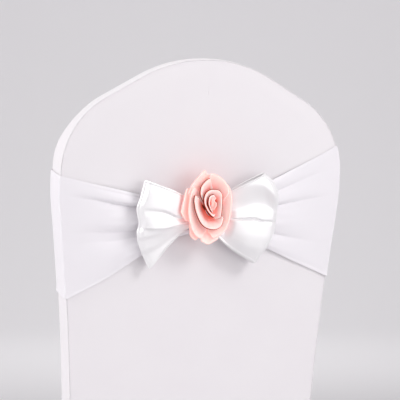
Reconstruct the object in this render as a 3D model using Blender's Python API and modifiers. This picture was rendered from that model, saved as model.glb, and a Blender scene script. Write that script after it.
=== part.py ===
"""Stretch cover for a crown-back banquet chair, with a sash band, a satin bow and a foam rose.

The cover is empty: the chair that it is pulled over is left out. Metres, +Z up. The chair's
sitter looks along +Y, so the rear panel with the bow and the rose faces -Y. The origin lies
inside the top of the cover, where the chair's crown rail carries it.
"""
import math

import bmesh
import bpy
import numpy as np

# ---------------------------------------------------------------- driving sizes, in metres
FLOOR = 0.978        # from the origin down to the floor
DEPTH = 0.050        # front to rear over the padded back
DEPTH_TOP = 0.028    # front to rear at its thinner crown
THIN_FROM = 0.070    # how far below the crown the back starts to grow thicker
THIN_TO = 0.140      # how far below it the back has its full depth
LEAN = 7.8           # degrees that the back leans out of upright
CLOTH = 0.0012       # thickness of the knitted cover and of the sash
SATIN = 0.0010       # thickness of the bow
FOAM = 0.0010        # thickness of a petal
SEAM = 0.0006        # gap that two sheets keep where they are sewn together
INSET = 0.0012       # how far inside the cover's outline a panel's sewn edge lies
OUTSET = SEAM + CLOTH - INSET   # how far outside it the side band's face lies
ROUND = 0.0008       # how far the padded edge swells between its two seams
BACK = 0.530         # height of the inside back, along its slope, down to the seat's hollow
FOOT = 0.046         # width of the cover round one foot
SEAT_HALF = 0.212    # half the width over the seat's front
LEG_SPREAD = 0.006   # how much wider each side stands at the front feet
ARCH_REAR = 0.170    # rise of the hem between the rear feet
ARCH_FRONT = 0.190   # rise of the hem between the front feet
ARCH_SIDE = 0.215    # rise of the hem between a rear and a front foot
SIDE_DENT = 0.014    # how far the stretched side skirt draws in at its hem
BACK_PAD = 0.008     # swell of the padded inside back
SEAT_PAD = 0.010     # swell of the padded seat
POCKET_TALL = 0.070  # height of a foot pocket
POCKET_WIDE = 0.030  # width of a foot pocket
POCKET_ROUND = 0.006  # radius of its upright corners
POCKET_SIDE = 0.002   # its extra distance from the side skirt
POCKET_LEAN = {"rear": 0.011, "front": 0.002}   # and from the leaning rear or front skirt

# One half of the rear panel's edge, from the middle of the crown to the foot, seen square on.
# Columns: length of the stretch, and how many degrees it turns downwards.
OUTLINE = (
    (0.100, 29.7),    # crown
    (0.0604, 0.0),    # sloping shoulder
    (0.118, 56.3),    # corner of the shoulder
    (0.066, 10.3),    # down to the widest part
    (0.840, -11.6),   # side, drawn in towards the seat and out again to the foot
)
SHOULDER = 0.3194     # distance along OUTLINE to its widest part

# Side view of the rear seam, and of the front seam, going down from the crown.
# Columns: length of the stretch, and how many degrees it turns forwards.
REAR_LINE = (
    (0.515, 0.0),     # straight back
    (0.200, -16.3),   # gentle bend at the height of the seat
    (0.600, 0.0),     # rear leg, splayed backwards
)
FRONT_LINE = (
    (BACK, 0.0),      # inside back
    (0.073, 83.2),    # hollow between back and seat, spanned by the stretched cloth
    (0.335, 0.0),     # seat
    (0.047, -89.5),   # rolled front edge
    (0.600, 0.0),     # front skirt
)
SEAT_START = BACK + FRONT_LINE[1][0]
SEAT_END = SEAT_START + FRONT_LINE[2][0]
SKIRT_START = SEAT_END + FRONT_LINE[3][0]

# Edges of the sash band on the rear panel, as it is drawn in to the bow.
# Columns: place across, top edge and bottom edge below the crown.
SASH_EDGES = (
    (-0.210, 0.164, 0.337),
    (-0.145, 0.179, 0.307),
    (-0.090, 0.191, 0.274),
    (-0.020, 0.206, 0.246),
    (0.020, 0.205, 0.245),
    (0.107, 0.168, 0.272),
    (0.145, 0.150, 0.288),
    (0.210, 0.120, 0.314),
)
# Ridges and creases across the band, on its left and on its right. Columns: share of the width
# from the top edge beside the bow, the same far from it, and height as a share of the fold's depth.
FOLDS_LEFT = ((0.0, 0.0, 0.35), (0.05, 0.04, 0.60), (0.14, 0.11, 1.0), (0.205, 0.155, 0.0),
              (0.43, 0.38, 1.0), (0.555, 0.478, 0.05), (0.86, 0.766, 0.85), (1.0, 1.0, 0.15))
FOLDS_RIGHT = ((0.0, 0.0, 0.30), (0.10, 0.09, 0.65), (0.18, 0.15, 0.20), (0.32, 0.30, 0.95),
               (0.385, 0.365, 0.0), (0.61, 0.60, 1.0), (0.77, 0.76, 0.15), (0.90, 0.90, 0.7),
               (1.0, 1.0, 0.2))
FOLD_DEPTH = 0.0145   # depth of the folds where the band is gathered
FOLD_NEAR = 0.100     # out to here the folds lie as beside the bow
FOLD_BEND = 0.070     # and over this much further they reach their far places
SASH_FAR = 0.185      # where the folds have run out
SASH_FULL = 0.8       # share of the gathering beyond which the folds grow no deeper
SASH_LIFT = 0.004     # how far the gathered middle stands off the panel
SASH_OFF = 0.0024     # from the cover out to the band's outer face
SASH_TURN = 0.0030    # radius of the band's corners

# Outer folded edge of each bow loop. Columns: share of the width, place across, depth below crown.
LOOP_LEFT = ((0.0, -0.092, 0.168), (0.2, -0.098, 0.191), (0.35, -0.103, 0.207), (0.5, -0.099, 0.230),
             (0.62, -0.101, 0.241), (0.78, -0.097, 0.258), (1.0, -0.081, 0.292))
LOOP_RIGHT = ((0.0, 0.080, 0.157), (0.1, 0.091, 0.167), (0.27, 0.101, 0.188), (0.42, 0.102, 0.209),
              (0.55, 0.101, 0.227), (0.67, 0.098, 0.244), (0.8, 0.091, 0.260), (1.0, 0.076, 0.288))
KNOT_HALF = 0.008     # half the width of the pinched middle
KNOT_TOP = 0.203      # where the pinched middle starts below the crown
KNOT_TALL = 0.030     # height of the pinched middle
BOW_BACK = 0.0200     # rear face of the pinched middle, off the panel
BOW_PINCH = 0.0036    # thickness of the pinched middle
FOLD_SIZE = 0.0030    # radius of a loop's outer fold
NEAR_KNOT = 0.20      # share of the way to the fold at which a loop starts to swell
NEAR_HEIGHT = 0.0250  # height of its front there, off the panel
HEM_SLACK = 0.002     # how much lower the rear layer's bottom hem hangs at the fold
REAR_RISE = 1.3       # how soon the rear layer rises to the fold: 1 is at the fold itself
LEFT_UPPER = 0.8      # the left loop's hems run out from the knot as these powers of the reach,
LEFT_LOWER = 1.3      # the upper and the lower,
LEFT_TUCK = 0.2       # with the lower one held at the knot's level over this share of the reach;
LEFT_SPLIT = 0.45     # down to this share of the loop's width it all follows the upper hem
RIGHT_UPPER = 0.7     # the right loop's upper hem runs out as this power of the reach,
RIGHT_EASE = 0.1      # and its lower one as a power this much smaller
# A loop's ridges and creases, from its top hem to its bottom hem. Each is traced at five places on
# the way from the knot to the outer fold: shares of the strip's width, then heights off the
# panel in millimetres.
TRACES = (0.35, 0.62, 0.78, 0.90, 1.0)
FORMS_LEFT = (
    ((0.0, 0.0, 0.0, 0.0, 0.0), (26, 29, 29, 28, 24)),
    ((0.12, 0.12, 0.12, 0.12, 0.12), (28.5, 32, 32.5, 31.5, 25)),
    ((0.43, 0.345, 0.335, 0.33, 0.32), (30, 34.5, 34, 32, 27.5)),
    ((0.46, 0.375, 0.36, 0.36, 0.34), (27.5, 31, 32, 31.5, 27)),
    ((0.52, 0.44, 0.43, 0.42, 0.42), (28.5, 33.5, 34, 33, 28.5)),
    ((0.61, 0.60, 0.565, 0.53, 0.50), (30, 35.5, 35.5, 33.5, 26.5)),
    ((0.66, 0.645, 0.60, 0.56, 0.53), (26.5, 31, 31.5, 30.5, 25)),
    ((0.82, 0.82, 0.80, 0.78, 0.78), (24.5, 26.5, 27.5, 27.5, 24)),
    ((0.93, 0.93, 0.93, 0.93, 0.93), (22.5, 21.5, 21, 20.5, 19)),
    ((1.0, 1.0, 1.0, 1.0, 1.0), (22, 21, 21.5, 22, 19.5)),
)
FORMS_RIGHT = (
    ((0.0, 0.0, 0.0, 0.0, 0.0), (28, 34, 34.5, 32, 27)),
    ((0.12, 0.10, 0.12, 0.20, 0.22), (29, 34, 34.5, 36, 31)),
    ((0.36, 0.325, 0.355, 0.42, 0.45), (27.5, 28, 28, 28, 25)),
    ((0.43, 0.41, 0.44, 0.475, 0.49), (30, 31, 31, 30.5, 26)),
    ((0.515, 0.50, 0.53, 0.53, 0.535), (31, 32.5, 32.5, 31, 26)),
    ((0.53, 0.516, 0.546, 0.546, 0.55), (28.5, 29, 29, 28, 25)),
    ((0.57, 0.555, 0.58, 0.60, 0.60), (32, 33.5, 33, 31, 26.5)),
    ((0.74, 0.74, 0.74, 0.74, 0.74), (32.5, 36, 35.5, 34, 28)),
    ((0.82, 0.83, 0.83, 0.82, 0.80), (30.5, 34, 34, 32.5, 27)),
    ((1.0, 1.0, 1.0, 1.0, 1.0), (24, 24, 24.5, 24, 20)),
)

ROSE_FOOT = 0.028      # height of the rose's foot off the panel
ROSE_TIP = 0.0501      # and of its tip
FOOT_MIDDLE = (-0.0017, 0.2117)    # middle of the rose at its foot, across and down
TIP_MIDDLE = (-0.0029, 0.2001)     # and at its tip
FOOT_SHARE = 0.30     # how much narrower the petals stand at the foot than at the tip
FLARE = 1.6           # how late on their way up they flare
CURL_TURN = 60.0      # degrees that a rim rolls on beyond its crest
END_FALL = 0.001      # how far a petal's two ends fall below its rim
END_LENGTH = 0.007    # and over what length they fall
PETAL_STEP = 0.009    # distance between points along a rim
PETAL_LEAST = 5       # and the fewest steps that a petal has
RIM_STEP = 0.0008     # distance between the places at which a rim's line is worked out
RIM_LEAST = 24        # and their smallest number
SLOPE_STEP = 0.0001   # how far above and below a place its wall's slope is taken
PETAL_WALL = (0.0, 0.6)           # rows of points up a petal's wall, and round its rolled rim
PETAL_ROLL = (0.0, 0.5, 1.0)
# One row for each petal: its name, the radius of its rolled rim, the height of its foot, then
# points on the crest of the rim: across, down and height off the panel. All in millimetres.
PETALS = (
    ("bud", 0.7, 44.6, ((-1.6, 203.8, 48.1), (-3.2, 199.5, 48.8), (-4.2, 194.1, 49.5),
        (-3.4, 189.0, 50.1), (-1.4, 189.4, 50.1), (-0.9, 194.0, 50.1), (-0.9, 199.2, 49.5))),
    ("inner_1", 1.2, 42.2, ((3.7, 185.9, 48.8), (-2.5, 185.1, 49.5), (-7.1, 187.3, 49.5),
        (-8.6, 192.9, 49.5), (-7.7, 199.7, 49.5), (-4.5, 205.9, 48.8), (0.1, 210.1, 48.1))),
    ("inner_2", 1.0, 43.4, ((1.5, 190.2, 49.1), (2.7, 194.7, 49.1), (2.7, 200.7, 49.1),
        (1.2, 205.5, 48.6))),
    ("inner_3", 2.1, 39.5, ((6, 213.2, 46.9), (0.3, 214.8, 47.5), (-5.6, 210.6, 48.1),
        (-10.6, 204, 48.8), (-13.7, 197.2, 48.8), (-14.4, 190.3, 48.8), (-12.6, 183.7, 48.8),
        (-8.4, 179.6, 48.8), (-1.9, 178.5, 48.8), (4.9, 179.6, 48.8), (9.2, 183.9, 48.1),
        (10.4, 192.3, 48.1), (10.6, 201.6, 47.5), (10.2, 210.2, 46.9), (9.3, 217.4, 46.2),
        (6.5, 221.7, 45.6))),
    ("middle_1", 2.3, 34.55, ((-24.2, 180.1, 46.2), (-26.6, 185.4, 46.2), (-27.5, 191.6, 46.2),
        (-26.7, 198.6, 46.2), (-24.6, 207.1, 46.2), (-21.1, 215.6, 46.2), (-16.6, 223.3, 46.2),
        (-10.4, 229, 46.2), (-2.9, 231.7, 46.2), (4.5, 231.8, 46.2), (10.5, 228.9, 45.6),
        (13.8, 221.2, 45), (14.8, 210.6, 44.4))),
    ("middle_2", 1.6, 35.7, ((-0.2, 162, 43.6), (-7.9, 163.8, 44.9), (-14.3, 168.7, 45.6),
        (-18.3, 174.2, 46.2), (-19.4, 179.7, 46.2), (-19, 185.3, 46.2), (-17, 190.7, 46.2))),
    ("middle_3", 1.2, 34.55, ((-11.2, 158.7, 41), (-2.7, 156.9, 41.7), (7.6, 160.7, 42.3),
        (16.7, 169.1, 43), (21.4, 179, 43), (22.6, 188.9, 43))),
    ("outer_1", 1.3, 33.4, ((16.1, 166.6, 39.7), (24.2, 178.2, 40.4), (26.9, 189.8, 41),
        (27, 201.4, 41.6), (26, 213.4, 41.6), (23.9, 225.4, 41), (19.7, 235.9, 40.4),
        (11.6, 242.3, 39.7), (3.6, 246.3, 39.7), (-3.1, 248.3, 39))),
    ("outer_2", 1.2, 32.25, ((16.2, 244.6, 37.8), (4.3, 251.7, 38.4), (-3.2, 255.2, 38.4),
        (-9.7, 252.2, 38.4), (-19, 249.1, 37.1))),
    ("outer_3", 1.3, 33.4, ((-8, 246.8, 39.7), (-17.9, 244.9, 40.4), (-26.3, 236.4, 41),
        (-31.2, 224, 41.6), (-33.7, 212.9, 41.6), (-33.7, 199.4, 41.6), (-32.7, 187.8, 41.6),
        (-29.7, 178.8, 41.6), (-24.1, 170.3, 41.6))),
    ("outer_4", 1.2, 29.95, ((-36.4, 190.5, 37.8), (-31.2, 174.6, 39), (-25, 165.1, 39.7),
        (-18, 157.6, 39.7), (-13.1, 152.5, 39))),
    ("base_1", 1.0, 28.8, ((-31.4, 172.3, 35.1), (-36.9, 179.8, 35.1), (-40.3, 193.4, 35.8),
        (-43.8, 209.4, 35.8), (-38.9, 218.3, 35.1), (-33, 226.8, 34.5))),
    ("base_2", 1.0, 29.95, ((-31.4, 223.8, 35.1), (-29.4, 234.3, 35.1), (-27.9, 243.9, 35.1),
        (-22.9, 248.9, 35.1), (-14.5, 251.3, 34.5))),
    ("base_3", 1.0, 31.1, ((24.2, 227.8, 35.1), (18.1, 240.3, 34.5), (8.4, 248.7, 33.9),
        (-3.6, 250.7, 33.9), (-14.1, 246.2, 33.9))),
    ("base_4", 1.0, 28.8, ((16.7, 175.3, 35.1), (21.8, 184.8, 35.8), (23.8, 199.4, 35.8),
        (22.8, 212.4, 35.8), (21.7, 223.8, 35.1))),
    ("base_5", 1.0, 28.8, ((-26, 170.7, 34.5), (-19, 163.2, 34.5), (-9.5, 158.7, 34.5),
        (2, 161.7, 34.5), (13, 168.2, 34.5))),
)

WHITE = (0.88, 0.87, 0.89)
SATIN_WHITE = (0.93, 0.93, 0.94)
PEACH = (0.93, 0.50, 0.45)


# ---------------------------------------------------------------- lines and tables
def walk(rows, along, heading):
    """Point and heading, at a distance along a line of straight stretches and arcs."""
    across = down = 0.0
    for length, turn in rows:
        step = min(along, length)
        bend = math.radians(turn) * step / length
        chord = step if abs(bend) < 1e-9 else 2.0 * step / bend * math.sin(bend / 2.0)
        across += chord * math.cos(heading + bend / 2.0)
        down += chord * math.sin(heading + bend / 2.0)
        heading += bend
        along -= step
        if along <= 0.0:
            break
    return across, down, heading


def through(keys, values, slopes, place):
    """Value at a place on a curve with these values and slopes at its keys."""
    place = min(max(place, keys[0]), keys[-1])
    index = min(max(int(np.searchsorted(keys, place)) - 1, 0), len(keys) - 2)
    span = keys[index + 1] - keys[index]
    share = (place - keys[index]) / span
    a, b = values[index], values[index + 1]
    p, q = slopes[index] * span, slopes[index + 1] * span
    return (a + p * share + (3.0 * (b - a) - 2.0 * p - q) * share ** 2
            + (2.0 * (a - b) + p + q) * share ** 3)


def blend(table, place, column=1):
    """Smooth value from a table whose first column rises."""
    keys = [row[0] for row in table]
    values = [row[column] for row in table]
    return through(keys, values, np.gradient(values, keys), place)


def steady(keys, values, place):
    """Smooth value that never swings past the values at the keys."""
    rises = np.diff(values) / np.diff(keys)
    inner = [2.0 * a * b / (a + b) if a * b > 0.0 else 0.0 for a, b in zip(rises, rises[1:])]
    return through(keys, values, [rises[0], *inner, rises[-1]], place)


def waves(keys, levels, place):
    """Value from ridges and creases: round over each ridge and sharp in each crease."""
    index = min(max(int(np.searchsorted(keys, place)) - 1, 0), len(keys) - 2)
    step = (place - keys[index]) / (keys[index + 1] - keys[index])
    first, last = levels[index], levels[index + 1]
    from_crease = step if first < last else 1.0 - step
    return min(first, last) + abs(last - first) * math.sin(0.5 * math.pi * from_crease) ** 0.6


def ease(share):
    share = min(max(share, 0.0), 1.0)
    return share * share * (3.0 - 2.0 * share)


# ---------------------------------------------------------------- the cover's own surfaces
def outline(along):
    """Half width, distance below the crown and heading of the rear panel's edge."""
    return walk(OUTLINE, along, 0.0)


EDGE_LENGTH = sum(length for length, _ in OUTLINE)
EDGE_STEPS = [outline(EDGE_LENGTH * i / 460) for i in range(461)]
EDGE_DOWN = [step[1] for step in EDGE_STEPS]
EDGE_HALF = [step[0] for step in EDGE_STEPS]


def half_width(down):
    """Half the width of the back at a distance below the crown."""
    return float(np.interp(down, EDGE_DOWN, EDGE_HALF))


def depth_at(down):
    """Front to rear over the back, at a distance below the crown."""
    return DEPTH_TOP + (DEPTH - DEPTH_TOP) * ease((down - THIN_FROM) / (THIN_TO - THIN_FROM))


def rear(across, down, inward=0.0):
    """Point on the rear panel's face, or a distance inside it towards the sitter."""
    lean = math.radians(LEAN)
    fall, forward, heading = walk(REAR_LINE, max(down, 0.0), lean)
    if down < 0.0:
        fall, forward = down * math.cos(lean), down * math.sin(lean)
    y = forward + inward * math.cos(heading) - DEPTH / 2.0 * math.cos(lean)
    z = -fall + inward * math.sin(heading) - DEPTH / 2.0 * math.sin(lean)
    return (across, y, z)


def front(across, along, outward=0.0):
    """Point on the front seam's line: the inside back, the seat and the front skirt."""
    lean = math.radians(LEAN)
    fall, forward, heading = walk(FRONT_LINE, along, lean)
    outward += depth_at(along) - DEPTH
    y = forward + DEPTH / 2.0 * math.cos(lean) + outward * math.cos(heading)
    z = -fall + DEPTH / 2.0 * math.sin(lean) + outward * math.sin(heading)
    return (across, y, z)


def reach_floor(line, start):
    """Distance along a line's last, straight stretch at which it meets the floor."""
    top, low = line(0.0, start)[2], line(0.0, start + 0.1)[2]
    return start + (FLOOR + top) / (top - low) * 0.1


REAR_FOOT = reach_floor(rear, REAR_LINE[0][0] + REAR_LINE[1][0])
FRONT_FOOT = reach_floor(front, SKIRT_START)


# Where the panels have columns and rows of points, so that their seams meet evenly
CROWN_STEPS = 8      # from the middle of the crown to the widest part
ROW = 0.05
STRAIGHT_ROWS = [0.20, 0.26, 0.32, 0.39, 0.46]
REAR_ROWS = [BACK + ROW * i for i in range(5)]
FRONT_ROWS = ([BACK + (SEAT_START - BACK) * i / 5 for i in range(5)]
              + [SEAT_START + (SEAT_END - SEAT_START) * i / 5 for i in range(5)]
              + [SEAT_END + (SKIRT_START - SEAT_END) * i / 5 for i in range(6)])


def front_half(along):
    """Half the width at a distance along the front line."""
    back = half_width(min(along, BACK))
    seat = (SEAT_HALF - half_width(BACK)) * ease((along - BACK) / (SEAT_END - BACK))
    leg = LEG_SPREAD * ease((along - SEAT_END) / (FRONT_FOOT - SEAT_END))
    return back + seat + leg


def swell(along, share):
    """How far the padding lifts the front cloth, at a share of its half width."""
    hump = 0.0
    if along < BACK:
        hump = BACK_PAD * math.sin(math.pi * along / BACK)
    elif SEAT_START < along < SEAT_END:
        hump = SEAT_PAD * math.sin(math.pi * (along - SEAT_START) / (SEAT_END - SEAT_START))
    return hump * (1.0 - share * share)


def arch(share, foot_share, rise):
    """Height of a hem above the floor, at a share of the half width between two feet."""
    open_share = 1.0 - foot_share
    return rise * max(0.0, 1.0 - (abs(share) / open_share) ** 2.4)


def crown_columns():
    """Shares of the half width and top points of a panel's columns, spaced along the crown."""
    half = []
    for index in range(CROWN_STEPS + 1):
        across, down, heading = outline(SHOULDER * index / CROWN_STEPS)
        half.append((across - INSET * math.sin(heading), down + INSET * math.cos(heading)))
    widest = half[-1][0]
    right = [(across / widest, down) for across, down in half]
    left = [(-share, down) for share, down in reversed(right[1:])]
    return left + right


# ---------------------------------------------------------------- making objects
def material(name, color, roughness):
    made = bpy.data.materials.new(name)
    made.use_nodes = True
    made.diffuse_color = (*color, 1.0)
    shader = made.node_tree.nodes["Principled BSDF"]
    shader.inputs["Base Color"].default_value = (*color, 1.0)
    shader.inputs["Roughness"].default_value = roughness
    shader.inputs["Metallic"].default_value = 0.0
    return made


def sheet(name, grid, thickness, finish, collection, ring=False):
    """Cloth from a grid of points on its outer face, thickened inwards into one closed solid.

    As that face is seen, the grid's rows run down it and its columns run to the right.
    """
    points = np.array(grid, dtype=float)[:, ::-1]
    rows, columns = points.shape[:2]
    bpy.ops.mesh.primitive_grid_add(x_subdivisions=columns - 1, y_subdivisions=rows - 1, size=1.0)
    cloth = bpy.context.active_object
    cloth.name = name
    cloth.data.name = name
    cloth.data.vertices.foreach_set("co", points.reshape(-1))
    shape = bmesh.new()
    shape.from_mesh(cloth.data)
    if ring:
        bmesh.ops.remove_doubles(shape, verts=shape.verts, dist=1e-6)
    shape.to_mesh(cloth.data)
    shape.free()
    solid = cloth.modifiers.new("Thickness", "SOLIDIFY")
    solid.thickness = thickness
    solid.offset = -1.0
    solid.use_quality_normals = True
    cloth.data.materials.append(finish)
    cloth.data.shade_smooth()
    cloth.data.set_sharp_from_angle(angle=math.radians(40.0))
    for home in list(cloth.users_collection):
        home.objects.unlink(cloth)
    collection.objects.link(cloth)
    return cloth


# ---------------------------------------------------------------- the cover's panels
def panel_rows(columns, straight_rows, point):
    """Rows of a panel: below the crown's curve they level out, and then run straight across."""
    rows = []
    for step in range(4):
        share = step / 4.0
        rows.append([point(s, top + (straight_rows[0] - top) * share) for s, top in columns])
    for down in straight_rows:
        rows.append([point(s, down) for s, top in columns])
    return rows


def rear_panel(finish, collection):
    columns = crown_columns()
    widest_down = outline(SHOULDER)[1]

    def point(share, down):
        return rear(share * (half_width(max(down, widest_down)) - INSET), down)

    rows = panel_rows(columns, STRAIGHT_ROWS + REAR_ROWS, point)
    foot_share = FOOT / half_width(REAR_FOOT)
    for step in range(1, 5):
        share = step / 4.0
        row = []
        for s, top in columns:
            hem = REAR_FOOT - arch(s, foot_share, ARCH_REAR)
            down = REAR_ROWS[-1] + (hem - REAR_ROWS[-1]) * share
            row.append(rear(s * (half_width(down) - INSET), down))
        rows.append(row)
    sheet("rear_panel", rows, CLOTH, finish, collection)


def front_panel(finish, collection):
    columns = crown_columns()
    widest_down = outline(SHOULDER)[1]

    def point(share, along):
        return front(share * (front_half(max(along, widest_down)) - INSET), along, swell(along, share))

    rows = panel_rows(columns, STRAIGHT_ROWS + FRONT_ROWS, point)
    foot_share = FOOT / front_half(FRONT_FOOT)
    for step in range(1, 5):
        share = step / 4.0
        row = []
        for s, top in columns:
            hem = FRONT_FOOT - arch(s, foot_share, ARCH_FRONT)
            along = SKIRT_START + (hem - SKIRT_START) * share
            row.append(front(s * (front_half(along) - INSET), along))
        rows.append(row)
    rows = [list(reversed(row)) for row in rows]
    sheet("front_panel", rows, CLOTH, finish, collection)


SEAM_END, HEEL_END = 0.30, 0.36    # shares along skirt_edge where the rear seam and the heel end


def skirt_edge(share):
    """Lower edge of a side: down the rear seam, under the rear foot, then along the hem."""
    heel = rear(half_width(REAR_FOOT), REAR_FOOT)
    toe = front(front_half(FRONT_FOOT), FRONT_FOOT)
    if share < SEAM_END:
        down = BACK + (REAR_FOOT - BACK) * share / SEAM_END
        return rear(half_width(down), down)
    if share < HEEL_END:
        step = (share - SEAM_END) / (HEEL_END - SEAM_END)
        return (heel[0], heel[1] + FOOT * step, -FLOOR)
    step = (share - HEEL_END) / (1.0 - HEEL_END)
    start, end = heel[1] + FOOT, toe[1] - FOOT
    across = heel[0] + (toe[0] - heel[0]) * step - SIDE_DENT * math.sin(math.pi * step)
    return (across, start + (end - start) * step, -FLOOR + arch(2.0 * step - 1.0, 0.0, ARCH_SIDE))


# Which point of the front seam each point of skirt_edge is stretched to.
# Columns: share along skirt_edge, distance along the front line below the inside back.
SIDE_PAIRS = ((0.0, 0.0), (SEAM_END, 0.12), (HEEL_END, 0.16), (0.60, 0.30), (0.80, 0.44),
              (1.0, FRONT_FOOT - BACK))
KEY_GAP = 0.008      # least distance between two rows, as a share along skirt_edge


def side_keys():
    """Where the side has a row of points, as shares along skirt_edge."""
    own = [HEEL_END * i / 6 for i in range(7)] + [HEEL_END + (1.0 - HEEL_END) * i / 12 for i in range(1, 13)]
    places = [pair[1] for pair in SIDE_PAIRS]
    shares = [pair[0] for pair in SIDE_PAIRS]
    meeting = [float(np.interp(along - BACK, places, shares)) for along in FRONT_ROWS]
    spare = [key for key in meeting if min(abs(key - other) for other in own) > KEY_GAP]
    return sorted(own + spare)


def side_band(finish, collection):
    """One strip from a front foot, over the crown, to the other front foot."""
    shares = [step / 4 for step in range(5)]
    half = []
    for index in range(2 * CROWN_STEPS + 1):
        across, down, heading = outline(SHOULDER * index / (2 * CROWN_STEPS))
        outs = [OUTSET + ROUND * math.sin(math.pi * share) for share in shares]
        half.append([rear(across + out * math.sin(heading), down - out * math.cos(heading),
                          depth_at(down) * share) for out, share in zip(outs, shares)])
    for down in STRAIGHT_ROWS:
        half.append([rear(half_width(down) + OUTSET + ROUND * math.sin(math.pi * share), down,
                          depth_at(down) * share) for share in shares])
    for key in side_keys():
        along = BACK + float(np.interp(key, [p[0] for p in SIDE_PAIRS], [p[1] for p in SIDE_PAIRS]))
        low = np.array(skirt_edge(key))
        high = np.array(front(front_half(along), along))
        row = []
        for share in shares:
            place = low + (high - low) * share
            place[0] += OUTSET + ROUND * math.sin(math.pi * share) * max(0.0, 1.0 - key / SEAM_END)
            row.append(tuple(place))
        half.append(row)
    mirrored = [[(-x, y, z) for x, y, z in row] for row in reversed(half[1:])]
    sheet("side_band", mirrored + half, CLOTH, finish, collection)


def foot_pockets(finish, collection):
    """Four open cups at the floor, one in each corner of the cover, that hold it down."""
    heel = rear(half_width(REAR_FOOT), REAR_FOOT)
    toe = front(front_half(FRONT_FOOT), FRONT_FOOT)
    clear = CLOTH + 2.0 * SEAM
    for end, corner, inward in (("rear", heel, 1.0), ("front", toe, -1.0)):
        for side, sign in (("left", -1.0), ("right", 1.0)):
            middle = (sign * (corner[0] - clear - POCKET_SIDE - POCKET_WIDE / 2.0),
                      corner[1] + inward * (clear + POCKET_LEAN[end] + POCKET_WIDE / 2.0),
                      -FLOOR + POCKET_TALL / 2.0)
            bpy.ops.mesh.primitive_cube_add(size=1.0, location=middle)
            cup = bpy.context.active_object
            cup.name = f"foot_pocket_{end}_{side}"
            cup.data.name = cup.name
            cup.scale = (POCKET_WIDE, POCKET_WIDE, POCKET_TALL)
            bpy.ops.object.transform_apply(location=False, rotation=False, scale=True)
            shape = bmesh.new()
            shape.from_mesh(cup.data)
            top = [face for face in shape.faces if face.normal.z > 0.9]
            bmesh.ops.delete(shape, geom=top, context="FACES_ONLY")
            upright = [e for e in shape.edges if abs(e.verts[0].co.z - e.verts[1].co.z) > 0.01]
            bmesh.ops.bevel(shape, geom=upright, offset=POCKET_ROUND, segments=2, affect="EDGES", profile=0.5)
            shape.to_mesh(cup.data)
            shape.free()
            solid = cup.modifiers.new("Thickness", "SOLIDIFY")
            solid.thickness = CLOTH
            solid.offset = -1.0
            cup.data.materials.append(finish)
            for home in list(cup.users_collection):
                home.objects.unlink(cup)
            collection.objects.link(cup)


# ---------------------------------------------------------------- sash, bow and rose
def sash_fold(across, share):
    """How far the sash stands off the panel by its folds, at a share of its width."""
    far = ease((abs(across) - FOLD_NEAR) / FOLD_BEND)
    sides = []
    for table in (FOLDS_LEFT, FOLDS_RIGHT):
        keys = [near + (away - near) * far for near, away, _ in table]
        sides.append(waves(keys, [row[2] for row in table], share))
    side = ease((across + 0.05) / 0.10)
    fold = (1.0 - side) * sides[0] + side * sides[1]
    reach = max(0.0, 1.0 - abs(across) / SASH_FAR)
    return SASH_LIFT * reach + FOLD_DEPTH * min(reach, SASH_FULL) ** 0.9 * fold


# Where the band has a line of points across its width, so that ridges and creases are met
SASH_COLUMNS = (0.0, 0.05, 0.12, 0.20, 0.31, 0.39, 0.50, 0.61, 0.76, 0.88, 1.0)


def sash_band(finish, collection):
    """A closed band round the back: flat at the front and the sides, folded towards the bow."""
    turn = SASH_TURN
    left, right = SASH_EDGES[0], SASH_EDGES[-1]
    rows = []

    def station(top, bottom, place):
        rows.append([place(top + (bottom - top) * share, share) for share in SASH_COLUMNS])

    def edges(across):
        return blend(SASH_EDGES, across, 1), blend(SASH_EDGES, across, 2)

    def ends(share):
        """Top and bottom on the way round the front, from the right side to the left."""
        return tuple(right[i] + (left[i] - right[i]) * share for i in (1, 2))

    def rear_place(reach):
        def place(down, share):
            across = reach * (half_width(down) + SASH_OFF - turn + OUTSET)
            return rear(across, down, -SASH_OFF - sash_fold(across, share))
        return place

    def corner_place(sign, angle, at_front):
        def place(down, share):
            across = half_width(down) + OUTSET + SASH_OFF - turn + turn * math.sin(angle)
            inward = turn - SASH_OFF - turn * math.cos(angle)
            return rear(sign * across, down, depth_at(down) - inward if at_front else inward)
        return place

    def side_place(sign, depth):
        def place(down, share):
            across = half_width(down) + OUTSET + SASH_OFF + ROUND * math.sin(math.pi * depth)
            return rear(sign * across, down, depth_at(down) * depth)
        return place

    def front_place(reach):
        def place(down, share):
            across = reach * (half_width(down) + SASH_OFF - turn + OUTSET)
            return rear(across, down, depth_at(down) + SASH_OFF + swell(down, reach * 0.98))
        return place

    for step in range(-12, 13):
        reach = step / 12
        station(*edges(reach * 0.21), rear_place(reach))
    for angle in (45, 90):
        station(*ends(0.0), corner_place(1.0, math.radians(angle), False))
    station(*ends(0.04), side_place(1.0, 0.5))
    for angle in (90, 45):
        station(*ends(0.08), corner_place(1.0, math.radians(angle), True))
    for step in range(-4, 5):
        reach = -step / 4
        station(*ends(0.5 + 0.42 * step / 4), front_place(reach))
    for angle in (45, 90):
        station(*ends(0.92), corner_place(-1.0, math.radians(angle), True))
    station(*ends(0.96), side_place(-1.0, 0.5))
    for angle in (90, 45):
        station(*ends(1.0), corner_place(-1.0, math.radians(angle), False))
    rows.append(rows[0])
    sheet("sash_band", list(zip(*rows)), CLOTH, finish, collection, ring=True)


# Columns and rows of points on the bow's strip
BOW_COLUMNS = (0.0, 0.12, 0.23, 0.34, 0.40, 0.50, 0.59, 0.66, 0.80, 0.91, 1.0)
BOW_FRONT = (0.0, 0.10, 0.20, 0.35, 0.50, 0.65, 0.79, 0.91, 1.0)
BOW_REAR = (1.0, 0.70, 0.40, 0.15, 0.0)


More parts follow.
